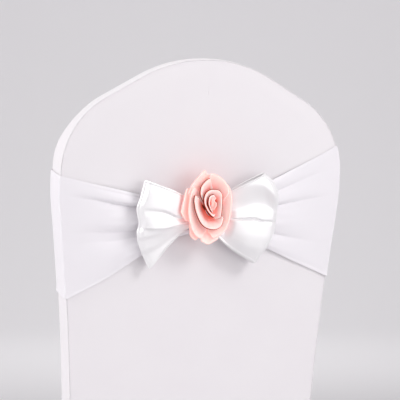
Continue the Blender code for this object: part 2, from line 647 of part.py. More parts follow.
def loop_height(forms, reach, share):
    """Height of a loop's front off the panel, at a reach towards its fold and a share of its width."""
    places = (0.0, NEAR_KNOT) + TRACES
    lines, levels = [], []
    for traced, heights in forms:
        lines.append(steady(places, (traced[0], traced[0]) + traced, reach))
        heights = [height / 1000.0 for height in heights]
        levels.append(steady(places, [BOW_BACK + BOW_PINCH, NEAR_HEIGHT] + heights, reach))
    return steady(lines, levels, share)


def loop_place(sign, reach, share):
    """Place on the panel, across and down, of a loop's point."""
    table = LOOP_LEFT if sign < 0 else LOOP_RIGHT
    edge_across, edge_down = blend(table, share, 1), blend(table, share, 2)
    across = sign * KNOT_HALF + (edge_across - sign * KNOT_HALF) * reach
    knot_down = KNOT_TOP + KNOT_TALL * share
    if sign < 0:
        upper = reach ** LEFT_UPPER
        lower = max((reach - LEFT_TUCK) / (1.0 - LEFT_TUCK), 0.0) ** LEFT_LOWER
        pull = upper + (lower - upper) * ease((share - LEFT_SPLIT) / (1.0 - LEFT_SPLIT))
    else:
        pull = reach ** (RIGHT_UPPER - RIGHT_EASE * share)
    return across, knot_down + (edge_down - knot_down) * pull


def bow_loop(sign, forms):
    """Rows across the strip, from the knot's front round one loop to the knot's back."""
    rows = []
    for reach in BOW_FRONT:
        rows.append([rear(*loop_place(sign, reach, share), -loop_height(forms, reach, share))
                     for share in BOW_COLUMNS])
    edge = [loop_height(forms, 1.0, share) for share in BOW_COLUMNS]
    row = []
    for share, height in zip(BOW_COLUMNS, edge):
        across, down = loop_place(sign, 1.0, share)
        row.append(rear(across + sign * FOLD_SIZE, down, FOLD_SIZE - height))
    rows.append(row)
    for reach in BOW_REAR:
        row = []
        for share, height in zip(BOW_COLUMNS, edge):
            across, down = loop_place(sign, reach, share)
            behind = BOW_BACK + (height - 2.0 * FOLD_SIZE - BOW_BACK) * ease(reach * REAR_RISE)
            row.append(rear(across, down + HEM_SLACK * reach * share, -behind))
        rows.append(row)
    return rows


def satin_bow(finish, collection):
    """One wide satin strip folded to two loops, and pinched at its middle."""
    ring = bow_loop(-1.0, FORMS_LEFT)[::-1] + bow_loop(1.0, FORMS_RIGHT)
    ring.append(ring[0])
    sheet("satin_bow", list(zip(*ring)), SATIN, finish, collection, ring=True)


def rose_middle(high):
    """Middle of the rose, across and down, at heights off the panel."""
    step = ((high - ROSE_FOOT) / (ROSE_TIP - ROSE_FOOT))[..., None]
    return np.array(FOOT_MIDDLE) + (np.array(TIP_MIDDLE) - np.array(FOOT_MIDDLE)) * step


def rose_share(high):
    """How wide the nested petals stand at heights off the panel, as a share of their width at the tip."""
    step = np.maximum((high - ROSE_FOOT) / (ROSE_TIP - ROSE_FOOT), 0.0)
    return (FOOT_SHARE + (1.0 - FOOT_SHARE) * step ** FLARE)[..., None]


def petal(name, curl, foot, crest, finish, collection):
    """One formed petal: a wall that rises and flares from its foot, and a rim rolled outwards."""
    crest = np.array(crest) / 1000.0
    radius, foot = curl / 1000.0, foot / 1000.0
    reach = np.concatenate([[0.0], np.cumsum(np.linalg.norm(np.diff(crest[:, :2], axis=0), axis=1))])
    length = reach[-1]
    along = np.linspace(0.0, length, max(RIM_LEAST, int(length / RIM_STEP)))
    rim = np.array([[through(reach, crest[:, i], slope, place)
                     for i, slope in enumerate(np.gradient(crest, reach, axis=0).T)] for place in along])
    tangent = np.gradient(rim[:, :2], axis=0)
    tangent /= np.linalg.norm(tangent, axis=1)[:, None]
    outward = np.stack([tangent[:, 1], -tangent[:, 0]], axis=1)
    side = np.sign(np.sum(outward * (rim[:, :2] - rose_middle(rim[:, 2]))))
    outward *= side
    high = rim[:, 2] - radius
    wide = (rim[:, :2] - outward * radius - rose_middle(high)) / rose_share(high)
    above, below = (rose_middle(high + d) + wide * rose_share(high + d)
                    for d in (SLOPE_STEP, -SLOPE_STEP))
    rising = np.sum((above - below) * outward, axis=1) / (2.0 * SLOPE_STEP)
    slope = np.arctan(np.maximum(rising, 0.0))
    top = rim[:, :2] - outward * (radius * np.cos(slope))[:, None]
    high = rim[:, 2] - radius + radius * np.sin(slope)
    wide = (top - rose_middle(high)) / rose_share(high)
    drop = np.array([END_FALL * (1.0 - ease(min(place, length - place) / END_LENGTH)) for place in along])
    middle = rim[:, :2] + rose_middle(high - drop) + wide * rose_share(high - drop) - top
    high = high - drop
    rows = []
    for rise in PETAL_WALL:
        level = foot + (high - foot) * rise
        rows.append(np.concatenate([rose_middle(level) + wide * rose_share(level), level[:, None]], axis=1))
    start = slope - math.pi / 2.0
    for turned in PETAL_ROLL:
        turn = start + (math.radians(CURL_TURN) - start) * turned
        place = middle + outward * (radius * np.sin(turn))[:, None]
        level = rim[:, 2] - drop - radius + radius * np.cos(turn)
        rows.append(np.concatenate([place, level[:, None]], axis=1))
    steps = max(PETAL_LEAST, round(length / PETAL_STEP))
    picks = np.linspace(0, len(along) - 1, steps + 1).round().astype(int)
    grid = np.array(rows)[:, picks]
    if side > 0:
        grid = grid[:, ::-1]
    points = [[rear(across, down, -level) for across, down, level in row] for row in grid]
    sheet(f"rose_{name}", points, min(FOAM, radius), finish, collection)


def main():
    for stale in list(bpy.data.objects):
        bpy.data.objects.remove(stale, do_unlink=True)
    collection = bpy.data.collections.new("chair_cover_with_sash")
    bpy.context.scene.collection.children.link(collection)
    knit = (WHITE, 0.75)
    rear_panel(material("rear_panel", *knit), collection)
    front_panel(material("front_panel", *knit), collection)
    side_band(material("side_band", *knit), collection)
    foot_pockets(material("foot_pocket", *knit), collection)
    sash_band(material("sash_band", WHITE, 0.65), collection)
    satin_bow(material("satin_bow", SATIN_WHITE, 0.3), collection)
    foam = material("rose_foam", PEACH, 0.6)
    for row in PETALS:
        petal(*row, foam, collection)


main()
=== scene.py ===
"""Looks of the stretch cover for a crown-back banquet chair, with its sash, satin bow and foam rose.

Everything is in metres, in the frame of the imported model: +Z up, the rear panel faces -Y, and the
origin lies inside the top of the cover. Most places are given on the rear panel: how far across,
how far down from the crown along the panel, and how far off its face.
"""
import math

import bmesh
import bpy
import numpy as np
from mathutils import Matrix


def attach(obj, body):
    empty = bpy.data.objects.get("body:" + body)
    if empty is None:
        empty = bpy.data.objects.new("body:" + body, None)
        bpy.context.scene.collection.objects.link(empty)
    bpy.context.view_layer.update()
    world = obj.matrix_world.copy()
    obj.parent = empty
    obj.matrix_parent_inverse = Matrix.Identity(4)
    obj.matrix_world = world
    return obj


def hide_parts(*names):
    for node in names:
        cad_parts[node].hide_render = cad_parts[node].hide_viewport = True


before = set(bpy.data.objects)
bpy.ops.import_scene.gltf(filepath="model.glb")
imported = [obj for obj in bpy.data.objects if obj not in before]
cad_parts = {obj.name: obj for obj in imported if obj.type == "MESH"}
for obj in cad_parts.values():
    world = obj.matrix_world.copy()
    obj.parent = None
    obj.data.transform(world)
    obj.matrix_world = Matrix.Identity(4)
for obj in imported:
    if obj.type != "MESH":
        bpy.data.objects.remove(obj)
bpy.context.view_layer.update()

# ---------------------------------------------------------------- sizes of the model, in metres
FLOOR = 0.978  # how far the floor lies below the origin
DEPTH, DEPTH_TOP = 0.050, 0.028  # front to rear over the back, and at its crown
THIN_FROM, THIN_TO = 0.070, 0.140  # below the crown, where it grows from the one to the other
LEAN = math.radians(7.8)  # how far the back leans to the rear
INSET = 0.0006  # how far inside the cover's outline a panel's sewn edge lies
OUTSET = 0.0006  # how far outside it the side band's face lies
ROUND = 0.0008  # how far the padded edge swells between its two seams
BACK = 0.530  # length of the back, from the crown to the seat's bend
FOOT = 0.046  # width of the cover at each foot
SEAT_HALF = 0.212  # half the seat's width at its front
LEG_SPREAD = 0.006  # how much further out each front foot stands
ARCH_REAR, ARCH_FRONT, ARCH_SIDE = 0.170, 0.190, 0.215  # heights of the hems' arches
SIDE_DENT = 0.014  # how far a side hem swings in between its feet
BACK_PAD, SEAT_PAD = 0.008, 0.010  # how far the padding lifts the inside back and the seat
POCKET_TALL, POCKET_WIDE = 0.070, 0.030
POCKET_CLEAR = 0.0024  # from a cup out to the skirts' outer faces
POCKET_SIDE = 0.002  # its extra distance from the side skirt
POCKET_LEAN = {"rear": 0.011, "front": 0.002}  # and from the leaning rear or front skirt
# Lines of straight stretches and arcs; each row is a length and the degrees that it turns by. They
# run along half the back's outline from the crown, down the rear panel, and down the inside back,
# over the seat and down the front skirt.
OUTLINE = ((0.100, 29.7), (0.0604, 0.0), (0.118, 56.3), (0.066, 10.3), (0.840, -11.6))
SHOULDER = 0.3194  # length of the outline from the crown to its widest part
REAR_LINE = ((0.515, 0.0), (0.200, -16.3), (0.600, 0.0))
FRONT_LINE = ((BACK, 0.0), (0.073, 83.2), (0.335, 0.0), (0.047, -89.5), (0.600, 0.0))
SEAT_START = BACK + FRONT_LINE[1][0]
SEAT_END = SEAT_START + FRONT_LINE[2][0]
SKIRT_START = SEAT_END + FRONT_LINE[3][0]
REAR_SKIRT = 0.722  # where the rear panel's rows start to bend towards the hem

KNIT = 0.0005  # thickness of the cover's knit
ALLOWANCE = 0.004  # seam allowance that is turned inside
ALLOWANCE_SLANT = 0.0006  # how far in from its seam the allowance's edge lies
PANEL_TURN = 0.00055  # radius at which a panel turns in at its seam
BAND_TURN = 0.000525  # radius at which the side band turns in beside it
PANEL_RISE, RISE_REACH = 0.0008, 0.022  # how far the rear panel rises from its seams, and within what
HEM = 0.012  # depth of the turned-up hems
HEM_LIFT, HEM_EDGE = 0.0003, 0.001  # how far a hem stands out, and within what
STITCH_DEPTH, STITCH_HALF = 0.0004, 0.0009  # depth and half width of its stitched line

# Grids of the cover's pieces
CROWN_ROWS = 110  # rows round each half of the crown
ROW_STEP = 0.0045  # spacing of the rows below it
FIRST_STEP = 0.004  # from the crown's last row to the next
HEM_ROWS, HEM_RUN = 46, 0.045  # closer rows at the hem, and the stretch that they take up
SEAM_LINES = (0.0015, 0.0025, 0.004, 0.0065, 0.010)  # lines beside a seam, in from it


# ---------------------------------------------------------------- lines
def line_table(rows, heading, step=0.00025):
    """Distances, both places and headings along a line of straight stretches and arcs."""
    along = np.arange(0.0, sum(row[0] for row in rows) + step, step)
    heads = np.full_like(along, heading)
    start = 0.0
    for length, turn in rows:
        heads += math.radians(turn) * np.clip((along - start) / length, 0.0, 1.0)
        start += length
    middle = 0.5 * (heads[1:] + heads[:-1])
    first = np.concatenate([[0.0], np.cumsum(np.cos(middle)) * step])
    second = np.concatenate([[0.0], np.cumsum(np.sin(middle)) * step])
    return along, first, second, heads


EDGE = line_table(OUTLINE, 0.0)
SHOULDER_DOWN = np.interp(SHOULDER, EDGE[0], EDGE[2])
REAR = line_table(REAR_LINE, LEAN)
FRONT = line_table(FRONT_LINE, LEAN)


def half_width(down):
    """Half the width of the back at a distance below the crown."""
    return np.interp(down, EDGE[2], EDGE[1])


def ease(share):
    """Eases from 0 to 1 as a share goes from 0 to 1."""
    share = np.clip(share, 0.0, 1.0)
    return share * share * (3.0 - 2.0 * share)


def depth_at(down):
    """Front to rear over the back, at a distance below the crown."""
    return DEPTH_TOP + (DEPTH - DEPTH_TOP) * ease((down - THIN_FROM) / (THIN_TO - THIN_FROM))


def rear(across, down, inward=0.0):
    """Points on the rear panel's face, or a distance inside it towards the sitter."""
    across, down, inward = np.broadcast_arrays(*(np.asarray(v, float) for v in (across, down, inward)))
    over = np.minimum(down, 0.0)
    fall = np.interp(down, REAR[0], REAR[1]) + over * math.cos(LEAN)
    forward = np.interp(down, REAR[0], REAR[2]) + over * math.sin(LEAN)
    heading = np.interp(down, REAR[0], REAR[3])
    y = forward + inward * np.cos(heading) - DEPTH / 2.0 * math.cos(LEAN)
    z = -fall + inward * np.sin(heading) - DEPTH / 2.0 * math.sin(LEAN)
    return np.stack([across, y, z], axis=-1)


def front(across, along, outward=0.0):
    """Points on the front seam's line, or a distance outside it: inside back, seat, front skirt."""
    across, along, outward = np.broadcast_arrays(*(np.asarray(v, float) for v in (across, along, outward)))
    heading = np.interp(along, FRONT[0], FRONT[3])
    outward = outward + depth_at(along) - DEPTH
    y = np.interp(along, FRONT[0], FRONT[2]) + DEPTH / 2.0 * math.cos(LEAN) + outward * np.cos(heading)
    z = -np.interp(along, FRONT[0], FRONT[1]) + DEPTH / 2.0 * math.sin(LEAN) + outward * np.sin(heading)
    return np.stack([across, y, z], axis=-1)


def reach_floor(line, start):
    """Distance along a line's last, straight stretch at which it meets the floor."""
    top, low = float(line(0.0, start)[2]), float(line(0.0, start + 0.1)[2])
    return start + (FLOOR + top) / (top - low) * 0.1


REAR_FOOT = reach_floor(rear, REAR_LINE[0][0] + REAR_LINE[1][0])
FRONT_FOOT = reach_floor(front, SKIRT_START)


def front_half(along):
    """Half the width at a distance along the front line."""
    back = half_width(np.minimum(along, BACK))
    seat = (SEAT_HALF - half_width(BACK)) * ease((along - BACK) / (SEAT_END - BACK))
    leg = LEG_SPREAD * ease((along - SEAT_END) / (FRONT_FOOT - SEAT_END))
    return back + seat + leg


def swell(along, share):
    """How far the padding lifts the front cloth, at a share of its half width."""
    on_back = BACK_PAD * np.sin(np.pi * np.clip(along / BACK, 0.0, 1.0))
    on_seat = SEAT_PAD * np.sin(np.pi * np.clip((along - SEAT_START) / (SEAT_END - SEAT_START), 0.0, 1.0))
    return (on_back + on_seat) * (1.0 - share * share)


def arch(share, foot_share, rise):
    """Height of a hem above the floor, at a share of the half width between two feet."""
    return rise * np.maximum(0.0, 1.0 - (np.abs(share) / (1.0 - foot_share)) ** 2.4)


def between(keys, values, slopes, places):
    """A curve through values at keys, where it has these slopes, read at places."""
    index = np.clip(np.searchsorted(keys, places) - 1, 0, len(keys) - 2)
    span = keys[index + 1] - keys[index]
    share = (places - keys[index]) / span
    if values.ndim > 1:
        span, share = span[:, None], share[:, None]
    a, b = values[index], values[index + 1]
    p, q = slopes[index] * span, slopes[index + 1] * span
    return (a + p * share + (3.0 * (b - a) - 2.0 * p - q) * share ** 2
            + (2.0 * (a - b) + p + q) * share ** 3)


def smooth(keys, values, places):
    """Smooth values at places, from one value or a row of values for each key."""
    keys, values = np.asarray(keys, float), np.asarray(values, float)
    places = np.clip(places, keys[0], keys[-1])
    return between(keys, values, np.gradient(values, keys, axis=0), places)


def steady(keys, values, places):
    """Like smooth, but the curve never swings past the values at its keys."""
    keys, values = np.asarray(keys, float), np.asarray(values, float)
    rises = np.diff(values) / np.diff(keys)
    pair = rises[:-1] * rises[1:]
    inner = np.where(pair > 0.0, 2.0 * pair / np.where(pair > 0.0, rises[:-1] + rises[1:], 1.0), 0.0)
    return between(keys, values, np.concatenate([rises[:1], inner, rises[-1:]]), places)


def travelled(points):
    """Distance along a row of points, from its first."""
    return np.concatenate([[0.0], np.cumsum(np.linalg.norm(np.diff(points, axis=0), axis=1))])


def both_halves(right, flip):
    """A row of points or places from the middle to the right, with its mirror image before it."""
    return np.concatenate([(right * flip)[::-1], right[1:]])


def column(table, index):
    """One column of a table of rows."""
    return [row[index] for row in table]


# ---------------------------------------------------------------- making a sheet
def only(thing):
    """Selects one object alone."""
    bpy.ops.object.select_all(action="DESELECT")
    thing.select_set(True)
    bpy.context.view_layer.objects.active = thing


def shaped_grid(name, points):
    """A grid primitive with its vertices moved to rows and columns of points."""
    rows, columns = points.shape[:2]
    bpy.ops.object.select_all(action="DESELECT")
    bpy.ops.mesh.primitive_grid_add(x_subdivisions=columns - 1, y_subdivisions=rows - 1, size=1.0)
    made = bpy.context.active_object
    made.name = made.data.name = name
    made.data.vertices.foreach_set("co", points.reshape(-1))
    return made


def weld(made, distance, turn_faces=False):
    """Merges a mesh's vertices that lie together and, where asked, turns its faces outwards."""
    shape = bmesh.new()
    shape.from_mesh(made.data)
    bmesh.ops.remove_doubles(shape, verts=shape.verts, dist=distance)
    if turn_faces:
        bmesh.ops.recalc_face_normals(shape, faces=shape.faces)
    shape.to_mesh(made.data)
    shape.free()


def uv_grid(across, down):
    """UV map of a grid, from the places across it and down it."""
    return np.stack(np.broadcast_arrays(across, down), axis=-1)


def sheet(name, points, uv, thickness, finish, closed=False):
    """A sheet from a grid of points on its outer face, thickened inwards.

    As that face is seen, the grid's rows run down it and its columns run to the right. A closed
    grid meets itself or narrows to a point, and is welded there.
    """
    points, uv = np.asarray(points, float)[:, ::-1], np.asarray(uv, float)[:, ::-1]
    made = shaped_grid(name, points)
    corner = np.zeros(len(made.data.loops), dtype=np.int32)
    made.data.loops.foreach_get("vertex_index", corner)
    made.data.uv_layers[0].data.foreach_set("uv", uv.reshape(-1, 2)[corner].reshape(-1))
    if closed:
        weld(made, 2e-6)
    only(made)
    solid = made.modifiers.new("Thickness", "SOLIDIFY")
    solid.thickness = thickness
    solid.offset = -1.0
    solid.use_quality_normals = True
    bpy.ops.object.modifier_apply(modifier=solid.name)
    made.data.materials.clear()
    made.data.materials.append(finish)
    bpy.ops.object.shade_smooth_by_angle(angle=math.radians(60.0))
    return made


def hand_over(piece, slot, *nodes):
    """The piece stands for these CAD nodes, which it hides, and hangs from the root body; its slot is not
    used.
    """
    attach(piece, "root")
    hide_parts(*nodes)


# ---------------------------------------------------------------- materials
def hue(code):
    """Linear colour from an sRGB hex value."""
    parts = [int(code[i:i + 2], 16) / 255.0 for i in (1, 3, 5)]
    return tuple(p / 12.92 if p <= 0.04045 else ((p + 0.055) / 1.055) ** 2.4 for p in parts) + (1.0,)


def add(tree, kind, settings=None, links=None):
    """Adds a node, with its settings and what its sockets are linked to."""
    made = tree.nodes.new(kind)
    for key, value in (settings or {}).items():
        if isinstance(key, str) and hasattr(made, key):
            setattr(made, key, value)
        else:
            made.inputs[key].default_value = value
    for key, source in (links or {}).items():
        tree.links.new(source, made.inputs[key])
    return made


def start_material(name, settings):
    """A material with its main shader set, its node tree and that shader."""
    made = bpy.data.materials.new(name)
    made.use_nodes = True
    shader = made.node_tree.nodes["Principled BSDF"]
    for key, value in settings.items():
        shader.inputs[key].default_value = value
    made.diffuse_color = settings["Base Color"]
    return made, made.node_tree, shader


def ripple(tree, source, spacing, extra=None):
    """Sine of a length in metres, one period each spacing."""
    turns = add(tree, "ShaderNodeMath", {"operation": "MULTIPLY", 1: 2.0 * math.pi / spacing}, {0: source})
    if extra is not None:
        turns = add(tree, "ShaderNodeMath", {"operation": "ADD"}, {0: turns.outputs[0], 1: extra})
    return add(tree, "ShaderNodeMath", {"operation": "SINE"}, {0: turns.outputs[0]}).outputs[0]


def stretch_knit(name, light, shade, wale, sheen):
    """Polyester and elastane warp knit, stretched: matt, with fine upright wales that only show
    close by, a faint cloudiness where the stretch thins it, and a soft glow at grazing angles."""
    made, tree, shader = start_material(name, {
        "Base Color": hue(light), "Roughness": 0.72, "IOR": 1.5, "Sheen Weight": sheen,
        "Sheen Roughness": 0.45, "Specular IOR Level": 0.3})
    place = add(tree, "ShaderNodeUVMap")
    split = add(tree, "ShaderNodeSeparateXYZ", links={0: place.outputs[0]})
    cloud = add(tree, "ShaderNodeTexNoise", {"Scale": 14.0, "Detail": 3.0, "Roughness": 0.5},
                {"Vector": place.outputs[0]})
    tone = add(tree, "ShaderNodeMix", {"data_type": "RGBA", 6: hue(light), 7: hue(shade)},
               {0: cloud.outputs[0]})
    tree.links.new(tone.outputs[2], shader.inputs["Base Color"])
    # Wales are 0.7 mm apart on the real cloth and drawn at twice that, so that they show at all
    ribs = ripple(tree, split.outputs[0], wale)
    rows = ripple(tree, split.outputs[1], wale * 0.8, ribs)
    both = add(tree, "ShaderNodeMath", {"operation": "MULTIPLY_ADD", 1: 0.5}, {0: rows, 2: ribs})
    bump = add(tree, "ShaderNodeBump", {"Strength": 0.12, "Distance": 0.00025}, {"Height": both.outputs[0]})
    tree.links.new(bump.outputs[0], shader.inputs["Normal"])
    return made


def woven_satin():
    """Polyester satin: long weft floats give a glossy face with broad, soft highlights."""
    made, tree, shader = start_material("polyester_satin_woven", {
        "Base Color": hue("#F9F8F9"), "Roughness": 0.40, "IOR": 1.5, "Specular IOR Level": 0.7,
        "Metallic": 0.25, "Sheen Weight": 0.1, "Sheen Roughness": 0.4})
    place = add(tree, "ShaderNodeUVMap")
    # Floats are 0.2 mm apart on the real cloth and drawn at 1 mm, so that they show at all
    squeezed = add(tree, "ShaderNodeMapping", {"Scale": (90.0, 1000.0, 1.0)}, {"Vector": place.outputs[0]})
    float_noise = add(tree, "ShaderNodeTexNoise", {"Scale": 1.0, "Detail": 2.0},
                      {"Vector": squeezed.outputs[0]})
    bump = add(tree, "ShaderNodeBump", {"Strength": 0.10, "Distance": 0.0002},
               {"Height": float_noise.outputs[0]})
    tree.links.new(bump.outputs[0], shader.inputs["Normal"])
    return made


def formed_foam():
    """Polyethylene foam sheet, heat-formed: velvety, a little translucent and pink, with painted shade:
    coral between the petals and almost brown in the creases under their rims; painted light keeps the rims
    pale, and a faint painted glow lifts it."""
    made, tree, shader = start_material("polyethylene_foam_heat_formed", {
        "Base Color": hue("#F9B7AE"), "Roughness": 0.75, "IOR": 1.45, "Specular IOR Level": 0.15,
        "Subsurface Weight": 0.75, "Subsurface Radius": (1.0, 0.45, 0.38), "Subsurface Scale": 0.0025,
        "Sheen Weight": 0.1, "Sheen Roughness": 0.4, "Emission Strength": 0.24})
    place = add(tree, "ShaderNodeUVMap")
    split = add(tree, "ShaderNodeSeparateXYZ", links={0: place.outputs[0]})
    # The UV map's height is the share of painted light: 0 in the creases between the petals and nearly 1 on
    # their rims. The ramp paints shade, brown in the creases and coral lower down, and paler pink as
    # painted light towards the rims
    ramp = add(tree, "ShaderNodeValToRGB", links={0: split.outputs[1]})
    stops = ((0.0, "#45190F"), (0.07, "#8A2E20"), (0.13, "#E65A44"), (0.36, "#FB968A"), (0.65, "#FFC6C0"),
             (1.0, "#FFE3DE"))
    while len(ramp.color_ramp.elements) < len(stops):
        ramp.color_ramp.elements.new(0.5)
    for element, (place_at, code) in zip(ramp.color_ramp.elements, stops):
        element.position = place_at
        element.color = hue(code)
    tree.links.new(ramp.outputs[0], shader.inputs["Base Color"])
    # A faint glow of its own colour stands for the light that comes through from petal to petal
    tree.links.new(ramp.outputs[0], shader.inputs["Emission Color"])
    where = add(tree, "ShaderNodeTexCoord")
    # The foam's cells are about 1 mm wide
    cells = add(tree, "ShaderNodeTexNoise", {"Scale": 900.0, "Detail": 2.0},
                {"Vector": where.outputs["Object"]})
    bump = add(tree, "ShaderNodeBump", {"Strength": 0.1, "Distance": 0.0002}, {"Height": cells.outputs[0]})
    tree.links.new(bump.outputs[0], shader.inputs["Normal"])
    return made


COVER_KNIT = stretch_knit("polyester_elastane_knit", "#F3F0F2", "#F0ECEF", 0.0014, 0.15)
SASH_KNIT = stretch_knit("polyester_elastane_sash_knit", "#F5F2F6", "#F2EFF3", 0.0014, 0.25)
SATIN = woven_satin()
FOAM = formed_foam()


# ---------------------------------------------------------------- cover panels
def turned_in(turn):
    """Profile of a panel's seam edge: rows of distance in from the seam, and depth inside."""
    rows = [(ALLOWANCE_SLANT, ALLOWANCE), (0.0005, ALLOWANCE * 0.6),
            (0.0002, turn * 1.6), (0.0, turn * 1.15)]
    for step in range(7):
        angle = math.radians(90.0 * step / 6)
        rows.append((turn * (1.0 - math.cos(angle)), turn * (1.0 - math.sin(angle))))
    return rows


def seam_rows(half, lower):
    """Rows along a seam, round the crown and then at places below it: half the width at each row,
    its distance below the crown and its heading."""
    crown = np.linspace(0.0, SHOULDER, CROWN_ROWS)
    across, down, heading = (np.interp(crown, EDGE[0], values) for values in EDGE[1:])
    return (np.concatenate([across, half(lower)]), np.concatenate([down, lower]),
            np.concatenate([heading, np.full(len(lower), math.pi / 2.0)]))


def cover_panel(half, foot, skirt, hem_rise, foot_half, place):
    """Grid of a panel that runs from one foot over the crown to the other, from seam to middle."""
    lower = np.concatenate([np.arange(SHOULDER_DOWN + FIRST_STEP, foot - HEM_RUN - 0.002, ROW_STEP),
                            np.linspace(foot - HEM_RUN, foot, HEM_ROWS)])
    edge_x, edge_d, heading = seam_rows(half, lower)
    # The crown's rows fan out towards the panel's middle, up to 50 mm lower than at the seam
    middle_d = edge_d + 0.05 * (1.0 - ease(edge_d / 0.16))
    lines = [(inset, depth, 0.0) for inset, depth in turned_in(PANEL_TURN)]
    lines += [(inset, 0.0, 0.0) for inset in SEAM_LINES]
    lines += [(SEAM_LINES[-1], 0.0, share) for share in np.linspace(0.0, 1.0, 40)[1:] ** 0.9]
    grid, uv = [], []
    pull = np.clip((edge_d - skirt) / (foot - skirt), 0.0, 1.0)
    for inset, depth, share in lines:
        across = (edge_x - np.sin(heading) * (INSET + inset)) * (1.0 - share)
        across = np.maximum(across, 0.0)
        down = edge_d + np.cos(heading) * (INSET + inset)
        down = down + (middle_d - down) * share
        width_share = across / half(np.maximum(edge_d, SHOULDER_DOWN))
        fall = foot - arch(width_share, foot_half, hem_rise) - skirt
        down = np.where(pull > 0.0, skirt + fall * pull, down)
        above_hem = (1.0 - pull) * fall + np.maximum(skirt - edge_d, 0.0)
        hem = (HEM_LIFT * ease((HEM - above_hem) / HEM_EDGE)
               - STITCH_DEPTH * np.exp(-((above_hem - HEM) / STITCH_HALF) ** 2))
        gone = inset + share * edge_x
        grid.append(both_halves(place(across, down, depth, gone, share, hem), (-1.0, 1.0, 1.0)))
        uv.append(both_halves(uv_grid(across, -down), (-1.0, 1.0)))
    return np.array(grid), np.array(uv)


def rear_panel():
    """The panel that the bow sits on, from the crown to the rear feet."""
    def place(across, down, depth, gone, share, hem):
        pad = PANEL_RISE * ease(gone / RISE_REACH)
        return rear(across, down, depth - hem - pad * (depth == 0.0))

    grid, uv = cover_panel(half_width, REAR_FOOT, REAR_SKIRT, ARCH_REAR, FOOT / half_width(REAR_FOOT),
                           place)
    made = sheet("rear_panel_knit", grid, uv, KNIT, COVER_KNIT, closed=True)
    hand_over(made, "knit", "rear_panel")


def front_panel():
    """The panel of the inside back, the seat and the front skirt."""
    def place(across, along, depth, gone, share, hem):
        pad = swell(along, 1.0 - share) * (depth == 0.0)
        return front(across, along, pad + hem - depth)

    grid, uv = cover_panel(front_half, FRONT_FOOT, SKIRT_START, ARCH_FRONT, FOOT / front_half(FRONT_FOOT),
                           place)
    made = sheet("front_panel_knit", grid[:, ::-1], uv[:, ::-1], KNIT, COVER_KNIT, closed=True)
    hand_over(made, "knit", "front_panel")


SEAM_SHARE, HEEL_SHARE = 0.30, 0.36  # of a side's lower edge: down the rear seam, then under the foot
# Below the back, a side's rows run from its lower edge to the front seam. Columns: share of the
# lower edge where a row starts, and where it ends, as a distance along the front line from the back.
SIDE_PAIRS = ((0.0, 0.0), (SEAM_SHARE, 0.12), (HEEL_SHARE, 0.16), (0.60, 0.30), (0.80, 0.44),
              (1.0, FRONT_FOOT - BACK))
SIDE_ROWS = 190
ROLL_END, ROLL_FADE = 0.285, 0.03  # where the band's rolled rear edge ends, and within what


def skirt_edge(share):
    """Lower edge of a side: down the rear seam, under the rear foot, then along the hem."""
    heel = rear(half_width(REAR_FOOT), REAR_FOOT)
    toe = front(front_half(FRONT_FOOT), FRONT_FOOT)
    down = BACK + (REAR_FOOT - BACK) * np.minimum(share, SEAM_SHARE) / SEAM_SHARE
    on_seam = rear(half_width(down), down)
    step = np.clip((share - SEAM_SHARE) / (HEEL_SHARE - SEAM_SHARE), 0.0, 1.0)
    under = np.stack([np.full_like(share, heel[0]), heel[1] + FOOT * step, np.full_like(share, -FLOOR)], -1)
    step = np.clip((share - HEEL_SHARE) / (1.0 - HEEL_SHARE), 0.0, 1.0)
    start, end = heel[1] + FOOT, toe[1] - FOOT
    across = heel[0] + (toe[0] - heel[0]) * step - SIDE_DENT * np.sin(np.pi * step)
    on_hem = np.stack([across, start + (end - start) * step,
                       -FLOOR + arch(2.0 * step - 1.0, 0.0, ARCH_SIDE)], -1)
    below = np.where((share < HEEL_SHARE)[:, None], under, on_hem)
    return np.where((share < SEAM_SHARE)[:, None], on_seam, below)


